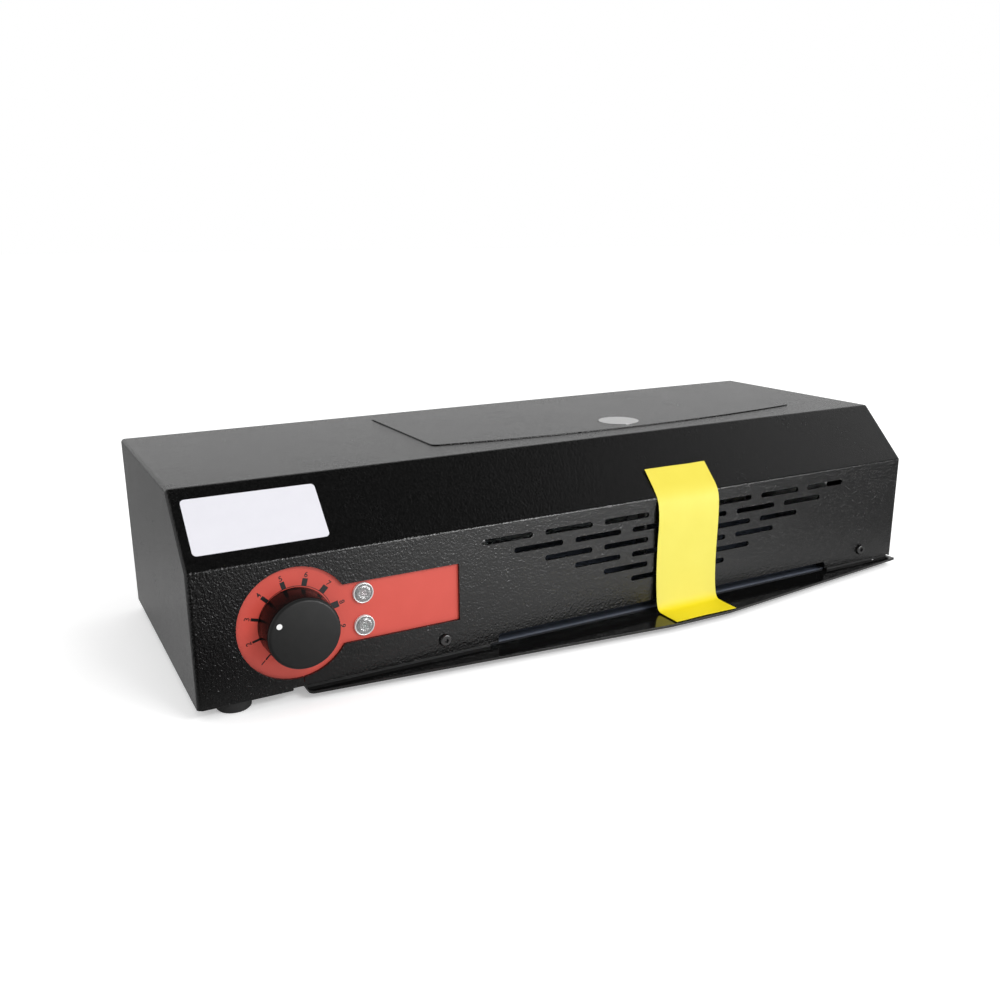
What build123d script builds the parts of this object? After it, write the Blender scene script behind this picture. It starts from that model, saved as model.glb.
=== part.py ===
from build123d import *
from math import acos, cos, hypot, pi, radians, sin, sqrt, tan
import os

# A tabletop thermal stencil printer. A sheet goes in over the tray at the front, passes between a
# glass drum with a heating lamp inside and a rubber roller, and leaves through the back wall.
# Sizes are in millimetres. X runs along the front from left to right, Y towards the back, Z up.
# The feet stand on Z = 0, and the origin is under the middle of the whole machine.

# Sheet metal
sheet = 1.5
thin_sheet = 1.0
bend = 2.0

# Cover
cover_length = 440.0
cover_depth = 160.0
cover_height = 94.0
slope_run = 30.0
mouth_corner = 2.0
edge_lift = 1.0
edge_lift_inset = 43.3
relief_inset = 48.5
relief_width = 0.4
rear_screw_inset = 25.0

# Underside
foot_height = 5.0
foot_radius = 8.5
foot_inset_x = 18.0
foot_inset_y = 10.0
foot_recess = 1.6
foot_recess_gap = 0.8
foot_edge = 0.6
foot_screw_head = 1.2
pan_drop = 1.0
pan_flange = 10.0
pan_flange_gap = 3.0
pan_tab_width = 14.0
pan_tab_rise = 5.0
pan_corner_notch = 8.0

# Paper path
path_left_inset = 150.5
path_right_inset = 59.5
slot_rise = 5.4
exit_height = 9.0

# Infeed tray
tray_inset = 50.0
tray_reach = 21.5
tray_end_reach = 3.0
tray_nose = 40.0
tray_corner = 3.0
tray_depth = 26.0
pan_notch = 18.0
pan_notch_margin = 4.0
tray_screw_inset = 25.0

# Vents in the front wall
vent_rows = 6
vent_top_count = 7
vent_overhang = 12.75
vent_bridge = 7.5
vent_height = 3.0
vent_row_pitch = 6.95
vent_rise = 55.3

# Control panel
dial_inset = 46.3
dial_rise = 32.2
dial_opening_radius = 27.0
panel_right_inset = 128.8
panel_opening_height = 29.3
panel_margin = 3.0
lamp_inset = 79.2
lamp_drop = 0.5
lamp_spacing = 16.2
bezel_radius = 5.0
bezel_reach = 1.4
bezel_step = 1.0
bezel_barrel = 4.0
lens_radius = 3.4
lens_length = 8.0
lens_proud = 0.4

# Knob
knob_radius = 17.2
knob_face_radius = 16.6
knob_reach = 14.2
knob_gap = 0.8
knob_wall = 2.0
knob_hub_wall = 2.5
knob_hub_depth = 4.0
knob_edge = 1.4
knob_dot_depth = 0.8
knob_dot_offset = 12.8
knob_dot_radius = 1.3
knob_rest_angle = 152.7
pot_shaft_radius = 3.0
pot_radius = 8.5
pot_depth = 9.0
pot_bush_wall = 1.5
pot_bush_reach = 3.0
pot_nut_radius = 6.0
pot_nut_height = 2.0
pot_shaft_end = 2.0

# Screws
screw_radius = 2.0
screw_head_radius = 3.2
screw_head = 1.6
hex_radius = 1.3
screw_hole_clearance = 0.2
small_screw_radius = 1.5
small_head_radius = 2.8
small_head = 1.4
front_screw_left_inset = 120.5
front_screw_right_inset = 29.5
front_screw_rise = 8.6

# Lid over the drum
lid_left_inset = 141.0
lid_right_inset = 44.0
lid_front_inset = 54.5
lid_bow = 10.3
lid_rear_inset = 20.0
lid_corner = 4.0
lid_thickness = 0.5
lid_seat = 0.1
lid_lap = 5.0
lid_gap = 0.5
ledge_width = 8.0
ledge_show = 2.0
hinge_inset = 12.0
hinge_depth = 5.2
hinge_pin_radius = 1.5
hinge_ear_radius = 3.0
hinge_ear_inset = 1.0
hinge_room = 7.0
bracket_gap = 1.0
bracket_length = 10.0
bracket_width = 9.0
badge_radius = 11.9
badge_shift = -2.0
badge_inset_y = 62.5
badge_depth = 0.3
badge_proud = 0.1

# Labels and strip
label_length = 61.2
label_width = 28.6
label_inset = 5.0
label_lift = 0.45
label_corner = 2.0
label_thickness = 0.25
strip_width = 41.8
strip_shift = 3.9
strip_start = 12.6
strip_toe_rise = 14.0
strip_toe_reach = 3.0
strip_lean = 1.2
strip_bend = 2.5
strip_thickness = 0.3
strip_stand_off = 0.5

# Drum drive
gear_module = 1.0
drum_teeth = 48
roller_teeth = 16
pinion_teeth = 16
gear_width = 6.0
pressure_angle = 20.0
backlash = 0.12
mesh_slack = 0.1
pinion_angle = 20.0
drum_inset_y = 85.0
glass_wall = 2.0
nip_gap = 0.3
journal_radius = 18.0
hub_bore_radius = 14.0
hub_flange = 4.0
spigot_length = 6.0
running_clearance = 0.05
side_play = 1.0
bearing_wall = 3.0
bearing_lip = 1.5
bearing_lip_width = 2.0
roller_shaft_radius = 3.0
roller_end_gap = 2.0
roller_chamfer = 0.8
shaft_overhang = 3.0
bush_radius = 5.0
bush_lip = 1.0
bush_lip_width = 1.5
bush_reach = 0.5
roller_clearance = 1.5

# Drive frame
frame_margin = 3.0
frame_sheet = 2.0
frame_inset = 8.0
frame_rear_reach = 47.0
frame_cap = 3.0
frame_slope_gap = 6.0
frame_corner = 5.0
frame_foot_length = 26.0
frame_foot_front_inset = 4.0
frame_foot_rear_inset = 2.0
buffer_height = 3.0
buffer_radius = 5.0
buffer_margin = 1.0
tie_radius = 3.0
tie_front_inset = 20.0
tie_front_drop = 12.0
tie_rear_inset = 6.0
tie_rear_drop = 8.0
tie_rear_rise = 14.0
transport_head_radius = 4.0
transport_head = 2.0

# Gear plate
outboard_reach = 12.0
plate_front_reach = 41.0
plate_rear_reach = 43.0
plate_bulge = 3.0
plate_rise = 1.0
spacer_radius = 3.5
spacer_thread = 6.0
spacer_inset = 6.0
spacer_rear_inset = 11.0
spacer_rise = 7.0
upper_spacer_angle = 52.7
upper_spacer_gap = 0.4

# Lamp
lamp_radius = 5.0
lamp_end_inset = 8.0
cap_radius = 7.0
cap_length = 16.0
cap_overhang = 4.0
reflector_radius = 12.0
reflector_sheet = 0.6
bridge_margin = 6.0
bridge_foot = 10.0
bridge_height = 20.0

# Motor
motor_radius = 14.0
gearbox_length = 16.0
motor_length = 18.0
motor_can_step = 1.5
motor_can_corner = 2.0
motor_shaft_radius = 2.0
motor_shaft_reach = 7.0
motor_nose_radius = 5.0

# Paper guides
guide_inset = 4.0
guide_flat = 5.0
lower_guide_gap = 11.0
lower_guide_drop = 1.3
upper_guide_rise = 0.4
upper_guide_flange = 7.0
upper_guide_gap = 27.0
upper_guide_lift = 11.0
exit_guide_gap = 12.0
exit_guide_drop = 3.5
exit_guide_margin = 2.0
exit_tab_gap = 18.0
exit_tab_inset = 4.0

# Heat sensor
sensor_shift = -1.0
sensor_inset = 22.0
sensor_strip_width = 8.0
sensor_strip_height = 36.0
sensor_strip_drop = 6.0
sensor_radius = 6.0
sensor_depth = 5.0
sensor_rise = 22.0

# Fan
fan_size = 50.0
fan_depth = 15.0
fan_margin = 7.5
fan_wall = 1.5
fan_hub_share = 0.51
fan_hole_inset = 5.0
fan_corner = 3.0
fan_arm_width = 3.0
fan_arm_depth = 3.0
fan_tip_gap = 0.8
fan_rotor_gap = 0.5
fan_spindle_radius = 2.0
fan_spindle_length = 1.5
fan_blades = 7
blade_pitch = 38.0
blade_thickness = 1.2
blade_chord = 13.0
guard_sheet = 1.2
guard_wire = 1.8
guard_lug_radius = 4.0

# Back wall fittings
fitting_rise = 30.0
rear_reach = 4.5

# Mains inlet
inlet_inset = 50.0
inlet_flange_length = 50.0
inlet_flange_height = 25.0
inlet_flange = 2.5
inlet_body_length = 28.0
inlet_body_height = 20.4
inlet_body_depth = 20.0
inlet_cavity_length = 24.4
inlet_cavity_height = 17.2
inlet_cavity_depth = 14.0
inlet_hole_spacing = 40.0
pin_spacing = 7.0
pin_rise = 2.0
pin_width = 2.0
pin_height = 4.0
pin_length = 11.0

# Power switch
switch_inset = 96.0
switch_flange_length = 15.0
switch_flange_height = 21.0
switch_flange = 1.5
switch_body_length = 13.2
switch_body_height = 19.4
switch_body_depth = 15.0
rocker_radius = 8.0
rocker_width = 9.0
rocker_tilt = 9.0
rocker_depth = 1.5
rocker_reach = 3.2
rocker_gap = 0.3
trunnion_radius = 1.0
trunnion_reach = 1.0

# Circuit boards
board_thickness = 1.6
board_hole_inset = 5.0
board_screw_reach = 3.0
control_board_inset = 22.0
control_board_margin = 2.0
control_board_below = 21.0
control_board_above = 24.0
stud_radius = 2.5
power_board_inset_x = 22.0
power_board_inset_y = 52.0
power_board_length = 106.0
power_board_width = 76.0
standoff_height = 6.0
standoff_radius = 3.0

# Parts on the power board
core_length = 36.0
core_width = 20.0
core_height = 30.0
coil_length = 26.0
coil_width = 30.0
coil_height = 24.0
sink_length = 30.0
sink_depth = 14.0
sink_height = 32.0
sink_base = 3.0
sink_fins = 6
fin_width = 2.0
core_inset_x = 30.0
core_inset_y = 29.0
coil_corner = 3.0
sink_inset_x = 8.0
sink_inset_y = 12.0
capacitor_radius = 6.0
capacitor_height = 18.0
capacitor_spacing = 16.0
capacitor_inset_x = 18.0
capacitor_inset_y = 16.0
relay_length = 24.0
relay_width = 14.0
relay_height = 16.0
relay_inset_x = 22.0
relay_inset_y = 19.0

# Places worked out from the sizes
left = -cover_length / 2
right = cover_length / 2
front = (tray_reach - cover_depth - rear_reach) / 2
rear = front + cover_depth
cover_bottom = foot_height + pan_drop
top = cover_bottom + cover_height
pan_top = foot_height + sheet
tray_bottom = foot_height - sheet
path_left = left + path_left_inset
path_right = right - path_right_inset
path_x = (path_left + path_right) / 2
slot_width = path_right - path_left
vent_pitch = (slot_width + 2 * vent_overhang) / vent_top_count
vent_length = vent_pitch - vent_bridge
dial_x = left + dial_inset
dial_z = cover_bottom + dial_rise
panel_front = front + sheet
panel_back = panel_front + sheet
lid_left = left + lid_left_inset
lid_right = right - lid_right_inset
lid_x = (lid_left + lid_right) / 2
lid_rear = rear - lid_rear_inset
lid_bottom = top + lid_seat
lid_top = lid_bottom + lid_thickness
badge_x = lid_x + badge_shift
badge_y = front + badge_inset_y
hinge_y = lid_rear - hinge_inset
hinge_z = top - hinge_depth
hinge_room_front = hinge_y - hinge_room
lid_rear_gap = hypot(hinge_inset, lid_top - hinge_z) - hinge_inset + 0.4
strip_x = path_x + strip_shift
drum_y = front + drum_inset_y
drum_pitch_radius = gear_module * drum_teeth / 2
centre_distance = gear_module * (drum_teeth + roller_teeth) / 2 + mesh_slack
pinion_distance = gear_module * (drum_teeth + pinion_teeth) / 2 + mesh_slack
roller_radius = centre_distance - drum_pitch_radius - nip_gap
roller_z = pan_top + roller_clearance + gear_module * (roller_teeth / 2 + 1)
drum_z = roller_z + centre_distance
nip_z = drum_z - drum_pitch_radius
pinion_y = drum_y + pinion_distance * cos(radians(pinion_angle))
pinion_z = drum_z + pinion_distance * sin(radians(pinion_angle))
frame_left = path_left - frame_margin
frame_right = path_right + frame_margin
frame_gap = frame_right - frame_left
frame_bottom = pan_top + buffer_height
frame_top = drum_z + drum_pitch_radius + frame_cap
frame_front = front + frame_inset
frame_rear = drum_y + frame_rear_reach
bearing_radius = journal_radius + bearing_wall
outboard_left = frame_left - frame_sheet - outboard_reach
outboard_right = frame_right + frame_sheet + outboard_reach
gear_left = frame_right + frame_sheet + bearing_lip + side_play
gear_right = gear_left + gear_width
plate_front = drum_y - plate_front_reach
plate_rear = drum_y + plate_rear_reach
plate_bottom = roller_z + plate_rise
fan_z = top - fan_margin - fan_size / 2
fan_bore_radius = fan_size / 2 - fan_wall
fan_hub_radius = fan_bore_radius * fan_hub_share
fan_hole_spacing = fan_size - 2 * fan_hole_inset
exit_z = nip_z + 1
inlet_x = left + inlet_inset
switch_x = left + switch_inset
fitting_z = cover_bottom + fitting_rise
rocker_y = rear - rocker_depth
board_left = left + power_board_inset_x
board_right = board_left + power_board_length
board_front = front + power_board_inset_y
board_rear = board_front + power_board_width
board_bottom = pan_top + standoff_height
board_top = board_bottom + board_thickness


def block(x0, x1, y0, y1, z0, z1):
    """A box between two corners."""
    middle = Pos((x0 + x1) / 2, (y0 + y1) / 2, (z0 + z1) / 2)
    return middle * Box(x1 - x0, y1 - y0, z1 - z0)


def rod_x(radius, x0, x1, y, z):
    """A round bar along X."""
    return Pos((x0 + x1) / 2, y, z) * Rot(0, 90, 0) * Cylinder(radius, x1 - x0)


def rod_y(radius, y0, y1, x, z):
    """A round bar along Y."""
    return Pos(x, (y0 + y1) / 2, z) * Rot(90, 0, 0) * Cylinder(radius, y1 - y0)


def rod_z(radius, z0, z1, x, y):
    """A round bar along Z."""
    return Pos(x, y, (z0 + z1) / 2) * Cylinder(radius, z1 - z0)


def along_x(face, x0, x1):
    """A face drawn as (y, z), pushed from x0 to x1."""
    return Pos(x0, 0, 0) * extrude(Plane.YZ * face, x1 - x0)


def along_y(face, y0, y1):
    """A face drawn as (x, z), pushed from y0 to y1."""
    return Pos(0, y1, 0) * extrude(Plane.XZ * face, y1 - y0)


def along_z(face, z0, z1):
    """A face drawn as (x, y), pushed from z0 to z1."""
    return Pos(0, 0, z0) * extrude(face, z1 - z0)


def outline(*points):
    """A face with straight sides."""
    return make_face(Polyline(*points, close=True))


def folded(*points, thickness=sheet):
    """The cross-section of a strip of sheet metal, folded at each inner point."""
    return trace(FilletPolyline(*points, radius=thickness), line_width=thickness)


def turned_x(points, x, y, z):
    """A solid turned about X, from (x, radius) points."""
    return Pos(x, y, z) * revolve(outline(*points), axis=Axis.X)


def button_screw(y_face, y_tip, x, z, outward=-1):
    """A button-head screw with a hexagon socket, its head seated on y_face."""
    head_tip = y_face + outward * screw_head
    head = rod_y(screw_head_radius, min(y_face, head_tip), max(y_face, head_tip), x, z)
    head = fillet(head.edges().sort_by(Axis.Y)[0 if outward < 0 else -1], 0.8)
    socket = along_y(
        Pos(x, z) * RegularPolygon(hex_radius, 6), head_tip - 1.0, head_tip + 1.0
    )
    shank = rod_y(screw_radius, min(y_face, y_tip), max(y_face, y_tip), x, z)
    return head + shank - socket


def foot_places():
    """Where the four feet stand."""
    return [
        (x, y)
        for x in (left + foot_inset_x, right - foot_inset_x)
        for y in (front + foot_inset_y, rear - foot_inset_y)
    ]


# Cover: one folded sheet with the top, slope, front, back and both ends
def side_profile(inset):
    """The cover's side view, drawn inside its outer face by the inset."""
    shift = inset * tan(radians(22.5))
    return outline(
        (front + inset, cover_bottom),
        (rear - inset, cover_bottom),
        (rear - inset, top - inset),
        (front + slope_run + shift, top - inset),
        (front + inset, top - slope_run - shift),
    )


def rounded_body(inset, radius):
    """The cover's body with every edge but the lowest ones rounded."""
    body = along_x(side_profile(inset), left + inset, right - inset)
    edges = body.edges().filter_by(lambda e: e.center().Z > cover_bottom + 1)
    return fillet(edges, radius)


def lid_face(grow, rear_edge):
    """The lid's plan, larger by grow, with its bowed front edge."""
    x0, x1 = lid_left - grow, lid_right + grow
    y_side = front + lid_front_inset - grow
    bow_point = (lid_x, y_side - lid_bow)
    edges = [
        Line((x0, rear_edge), (x0, y_side)),
        ThreePointArc((x0, y_side), bow_point, (x1, y_side)),
        Line((x1, y_side), (x1, rear_edge)),
        Line((x1, rear_edge), (x0, rear_edge)),
    ]
    face = make_face(edges)
    return fillet(face.vertices().sort_by(Axis.Y)[:2], lid_corner + max(grow, 0))


def vent_slots():
    """Rows of slots, each one slot shorter than the row above."""
    slots = Sketch()
    for row in range(vent_rows):
        count = vent_top_count - row
        z = cover_bottom + vent_rise - row * vent_row_pitch
        for k in range(count):
            x = path_x + (k - (count - 1) / 2) * vent_pitch
            slots += Pos(x, z) * SlotOverall(vent_length, vent_height)
    return slots


def keyhole(margin):
    """The control panel's outline: a circle with a strip to its right."""
    circle = Pos(dial_x, dial_z) * Circle(dial_opening_radius + margin)
    strip_right = left + panel_right_inset + margin
    strip = Pos((dial_x + strip_right) / 2, dial_z) * Rectangle(
        strip_right - dial_x, panel_opening_height + 2 * margin
    )
    return circle + strip


def front_screw_places():
    """The (x, z) of the screws that hold the cover's front to the pan."""
    z = cover_bottom + front_screw_rise
    return [(x, z) for x in (left + front_screw_left_inset, right - front_screw_right_inset)]


def rear_screw_places():
    """The (x, z) of the screws that hold the cover's back to the pan."""
    z = cover_bottom + pan_flange / 2
    return [(x, z) for x in (left + rear_screw_inset, path_x, right - rear_screw_inset)]


def fan_screw_places():
    """The (x, z) of the fan's corner screws."""
    half = fan_hole_spacing / 2
    return [(path_x + dx, fan_z + dz) for dx in (-half, half) for dz in (-half, half)]


def make_cover():
    cover = rounded_body(0, bend) - rounded_body(sheet, bend - sheet + 0.1)
    wall = (front - 1, front + sheet + 1)
    back = (rear - sheet - 1, rear + 1)
    # The paper mouth in the front wall's lower edge
    mouth = block(path_left, path_right, *wall, cover_bottom - slot_rise, cover_bottom + slot_rise)
    cover -= fillet(mouth.edges().filter_by(Axis.Y).sort_by(Axis.Z)[-2:], mouth_corner)
    # The front wall's lower edge stands a little higher than the ends', past a narrow relief cut
    lift_start, relief = left + edge_lift_inset, left + relief_inset
    cover -= block(lift_start, right - sheet, *wall, cover_bottom - 1, cover_bottom + edge_lift)
    cover -= block(relief, relief + relief_width, *wall, cover_bottom - 1, dial_z)
    cover -= along_y(vent_slots(), *wall)
    cover -= along_y(keyhole(0), *wall)
    for x, z in front_screw_places():
        cover -= rod_y(screw_radius + screw_hole_clearance, *wall, x, z)
    # The lid laps over its opening, which widens at the hinges to let the lid's back swing down
    roof = (top - sheet - 1, top + 1)
    cover -= along_z(lid_face(-lid_lap, hinge_room_front), *roof)
    room_rear = lid_rear + lid_rear_gap
    cover -= block(lid_left - lid_gap, lid_right + lid_gap, hinge_room_front, room_rear, *roof)
    # Back wall
    exit_hole = Pos(path_x, exit_z) * SlotOverall(slot_width + exit_height, exit_height)
    cover -= along_y(exit_hole, *back)
    cover -= rod_y(fan_bore_radius, *back, path_x, fan_z)
    for x, z in rear_screw_places() + fan_screw_places():
        cover -= rod_y(screw_radius + screw_hole_clearance, *back, x, z)
    cover -= along_y(Pos(inlet_x, fitting_z) * Rectangle(inlet_body_length, inlet_body_height), *back)
    for side in (-1, 1):
        x = inlet_x + side * inlet_hole_spacing / 2
        cover -= rod_y(small_screw_radius + screw_hole_clearance, *back, x, fitting_z)
    cover -= along_y(Pos(switch_x, fitting_z) * Rectangle(switch_body_length, switch_body_height), *back)
    return cover


# Base pan: the floor that carries everything, with a flange inside the cover's walls
def make_base_pan():
    x0, x1 = left + sheet, right - sheet
    y0, y1 = front + sheet, rear - sheet
    flange_top = pan_top + pan_flange
    pan = block(x0, x1, y0, y1, foot_height, pan_top)
    pan = fillet(pan.edges().filter_by(Axis.Z), sheet)
    y_front, y_rear = y0 + 2 * pan_flange_gap, y1 - pan_flange_gap
    pan += block(x0, x0 + sheet, y_front, y_rear, pan_top, flange_top)
    pan += block(x1 - sheet, x1, y_front, y_rear, pan_top, flange_top)
    pan += block(x0 + pan_flange_gap, x1 - pan_flange_gap, y1 - sheet, y1, pan_top, flange_top)
    for x, z in front_screw_places():
        half = pan_tab_width / 2
        pan += block(x - half, x + half, y0, y0 + sheet, pan_top, z + pan_tab_rise)
        pan -= rod_y(screw_radius, y0 - 1, y0 + sheet + 1, x, z)
    for x, z in rear_screw_places():
        pan -= rod_y(screw_radius, y1 - sheet - 1, y1 + 1, x, z)
    through = (foot_height - 1, pan_top + 1)
    notch_left, notch_right = path_left - pan_notch_margin, path_right + pan_notch_margin
    pan -= block(notch_left, notch_right, y0 - 1, front + pan_notch, *through)
    pan -= block(left + edge_lift_inset, left + tray_inset, y0 - 1, y0 + pan_corner_notch, *through)
    for x, y in foot_places():
        pan -= rod_z(screw_radius, foot_height - 1, pan_top + 1, x, y)
    for x in tray_screw_places():
        pan -= rod_z(small_screw_radius, foot_height - 1, pan_top + 1, x, tray_screw_y())
    for x, y in transport_screw_places():
        pan -= rod_z(screw_radius + screw_hole_clearance, foot_height - 1, pan_top + 1, x, y)
    return pan


# Infeed tray: a flat plate under the front edge, its front drawn out to a blunt nose
def tray_screw_places():
    spacing = (slot_width - 2 * tray_screw_inset) / 3
    return [path_left + tray_screw_inset + k * spacing for k in range(4)]


def tray_screw_y():
    return front + (pan_notch + tray_depth) / 2


def make_infeed_tray():
    plan = outline(
        (left + tray_inset, front - tray_end_reach),
        (path_x - tray_nose / 2, front - tray_reach),
        (path_x + tray_nose / 2, front - tray_reach),
        (right, front - tray_end_reach),
        (right, front + tray_depth),
        (left + tray_inset, front + tray_depth),
    )
    corners = plan.vertices().sort_by(Axis.Y)
    plan = fillet(corners[:2], tray_nose / 2)
    plan = fillet(plan.vertices().sort_by(Axis.X)[:2], tray_corner)
    tray = along_z(plan, tray_bottom, foot_height)
    foot_x, foot_y = right - foot_inset_x, front + foot_inset_y
    tray -= rod_z(foot_radius + 1, tray_bottom - 1, foot_height + 1, foot_x, foot_y)
    for x in tray_screw_places():
        tray -= rod_z(small_screw_radius, tray_bottom - 1, foot_height + 1, x, tray_screw_y())
    return tray


def make_tray_screws():
    screws = []
    for x in tray_screw_places():
        head = rod_z(small_head_radius, tray_bottom - small_head, tray_bottom, x, tray_screw_y())
        shank = rod_z(small_screw_radius, tray_bottom, pan_top + sheet, x, tray_screw_y())
        screws.append(fillet(head.edges().sort_by(Axis.Z)[0], small_head * 0.4) + shank)
    return screws


# Feet: rubber buttons, each held by a screw up through its middle
def make_feet():
    feet = []
    profile = outline(
        (screw_radius, foot_recess),
        (screw_head_radius + foot_recess_gap, foot_recess),
        (screw_head_radius + foot_recess_gap, 0),
        (foot_radius - 2 * foot_edge, 0),
        (foot_radius - foot_edge, foot_edge),
        (foot_radius, foot_height),
        (screw_radius, foot_height),
    )
    foot = revolve(Plane.XZ * profile, axis=Axis.Z)
    for x, y in foot_places():
        feet.append(Pos(x, y, 0) * foot)
    return feet


def make_foot_screws():
    screws = []
    for x, y in foot_places():
        head = rod_z(screw_head_radius, foot_recess - foot_screw_head, foot_recess, x, y)
        shank = rod_z(screw_radius, foot_recess, pan_top + screw_radius, x, y)
        screws.append(head + shank)
    return screws


# Control panel: a flat plate behind the keyhole opening, with two indicator lamps
def lamp_places():
    x = left + lamp_inset
    middle = dial_z + lamp_drop
    return [(x, middle + side * lamp_spacing / 2) for side in (1, -1)]


def make_control_plate():
    plate = along_y(keyhole(panel_margin), panel_front, panel_back)
    plate -= rod_y(pot_shaft_radius + pot_bush_wall, panel_front - 1, panel_back + 1, dial_x, dial_z)
    for x, z in lamp_places():
        plate -= rod_y(bezel_radius - bezel_step, panel_front - 1, panel_back + 1, x, z)
    return plate


def make_lamp_bezels():
    bezels = []
    for x, z in lamp_places():
        ring = rod_y(bezel_radius, panel_front - bezel_reach, panel_front, x, z)
        ring = fillet(ring.edges().sort_by(Axis.Y)[0], bezel_reach / 2)
        barrel = rod_y(bezel_radius - bezel_step, panel_front, panel_back + bezel_barrel, x, z)
        bore = rod_y(lens_radius, panel_front - bezel_reach - 1, panel_back + bezel_barrel + 1, x, z)
        bezels.append(ring + barrel - bore)
    return bezels


def make_lamp_lens(x, z):
    """A clear lens with a rounded front, pressed into its bezel."""
    tip = panel_front - bezel_reach - lens_proud
    lens = rod_y(lens_radius, tip, tip + lens_length, x, z)
    return fillet(lens.edges().sort_by(Axis.Y)[0], lens_radius * 0.5)


# Potentiometer behind the panel, its bush and nut through the plate
def make_potentiometer():
    body = rod_y(pot_radius, panel_back, panel_back + pot_depth, dial_x, dial_z)
    body = fillet(body.edges().sort_by(Axis.Y)[-1], 1.0)
    bush_tip = panel_front - pot_bush_reach
    bush = rod_y(pot_shaft_radius + pot_bush_wall, bush_tip, panel_back, dial_x, dial_z)
    nut = Pos(dial_x, dial_z) * RegularPolygon(pot_nut_radius, 6)
    nut = along_y(nut, panel_front - pot_nut_height, panel_front)
    bore_end = panel_back + pot_depth - pot_shaft_end
    bore = rod_y(pot_shaft_radius + running_clearance, bush_tip - 1, bore_end, dial_x, dial_z)
    return body + bush + nut - bore


def make_knob():
    """The knob's skirt, face and hollow hub, turned about its axis."""
    base = panel_front - knob_gap
    face = front - knob_reach
    profile = outline(
        (pot_shaft_radius, base - knob_hub_depth),
        (pot_shaft_radius + knob_hub_wall, base - knob_hub_depth),
        (pot_shaft_radius + knob_hub_wall, face + knob_wall),
        (knob_face_radius - knob_wall, face + knob_wall),
        (knob_radius - knob_wall, base),
        (knob_radius, base),
        (knob_face_radius, face + knob_edge),
        (knob_face_radius - knob_edge * 0.3, face + knob_edge * 0.3),
        (knob_face_radius - knob_edge, face),
        (0, face),
        (0, face + knob_wall),
        (pot_shaft_radius, face + knob_wall),
    )
    knob = Pos(dial_x, 0, dial_z) * revolve(profile, axis=Axis.Y)
    return knob - make_knob_dot()


def make_knob_dot():
    """The white pointer dot, set into the face."""
    angle = radians(knob_rest_angle)
    x = dial_x + knob_dot_offset * cos(angle)
    z = dial_z + knob_dot_offset * sin(angle)
    face = front - knob_reach
    return rod_y(knob_dot_radius, face, face + knob_dot_depth, x, z)


def make_knob_shaft():
    face = front - knob_reach
    end = panel_back + pot_depth - pot_shaft_end - pot_shaft_radius / 3
    return rod_y(pot_shaft_radius, face + knob_wall, end, dial_x, dial_z)


# Screws of the same kind in the cover's front, its back and the fan
def make_cover_screws():
    grip = 2 * sheet + 2
    guard_face = rear + guard_sheet
    screws = [button_screw(front, front + grip, x, z) for x, z in front_screw_places()]
    screws += [button_screw(rear, rear - grip, x, z, outward=1) for x, z in rear_screw_places()]
    screws += [
        button_screw(guard_face, rear - sheet - 10, x, z, outward=1) for x, z in fan_screw_places()
    ]
    return screws


def make_small_screws():
    """The smaller screws of the tray, the gear plate and the mains inlet."""
    return make_tray_screws() + make_gear_plate_screws() + make_inlet_screws()


# Lid over the drum: a thin plate that lies on the cover, with an ear at each end that turns on a pin
def make_top_lid():
    lid = along_z(lid_face(0, lid_rear), lid_bottom, lid_top)
    pocket = Pos(badge_x, badge_y) * Circle(badge_radius + running_clearance)
    lid -= along_z(pocket, lid_top - badge_depth, lid_top + 1)
    for x in hinge_ear_places():
        ear = rod_x(hinge_ear_radius, x, x + sheet, hinge_y, hinge_z)
        ear_front, ear_rear = hinge_y - hinge_ear_radius, hinge_y + hinge_ear_radius
        ear += block(x, x + sheet, ear_front, ear_rear, hinge_z, lid_bottom)
        bore = hinge_pin_radius + running_clearance
        lid += ear - rod_x(bore, x - 1, x + sheet + 1, hinge_y, hinge_z)
    return lid


def hinge_ear_places():
    """The left face of each of the lid's two ears."""
    return [lid_left + hinge_ear_inset, lid_right - hinge_ear_inset - sheet]


def make_hinge_brackets():
    """Folded tabs under the cover's top, just outside the lid, that hold the pins."""
    brackets = []
    y0, y1 = hinge_y - bracket_length / 2, hinge_y + bracket_length / 2
    for side, edge in ((-1, lid_left - lid_gap), (1, lid_right + lid_gap)):
        inner = edge + side * bracket_gap
        x0, x1 = sorted((inner, inner + side * sheet))
        tab = block(x0, x1, y0, y1, hinge_z - hinge_ear_radius - 1, top - sheet)
        f0, f1 = sorted((inner, inner + side * bracket_width))
        tab += block(f0, f1, y0, y1, top - 2 * sheet, top - sheet)
        brackets.append(tab - rod_x(hinge_pin_radius, x0 - 1, x1 + 1, hinge_y, hinge_z))
    return brackets


def make_hinge_pins():
    pins = []
    for side, edge in ((-1, lid_left - lid_gap), (1, lid_right + lid_gap)):
        outer = edge + side * (bracket_gap + sheet + 1.0)
        inner = edge - side * (lid_gap + hinge_ear_inset + sheet + 1.0)
        pin = rod_x(hinge_pin_radius, min(outer, inner), max(outer, inner), hinge_y, hinge_z)
        h0, h1 = sorted((edge + side * (bracket_gap + sheet), outer))
        pins.append(pin + rod_x(hinge_pin_radius + 0.5, h0, h1, hinge_y, hinge_z))
    return pins


def make_lid_ledge():
    """A flat strip that stiffens the opening's front and sides from below."""
    show = -lid_lap - ledge_show
    outer = lid_face(show + ledge_width, hinge_room_front - lid_gap)
    inner = lid_face(show, hinge_y)
    ledge_top = top - sheet
    return along_z(outer - inner, ledge_top - thin_sheet, ledge_top)


def make_badge():
    face = Pos(badge_x, badge_y) * Circle(badge_radius)
    return along_z(face, lid_top - badge_depth, lid_top + badge_proud)


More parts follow.
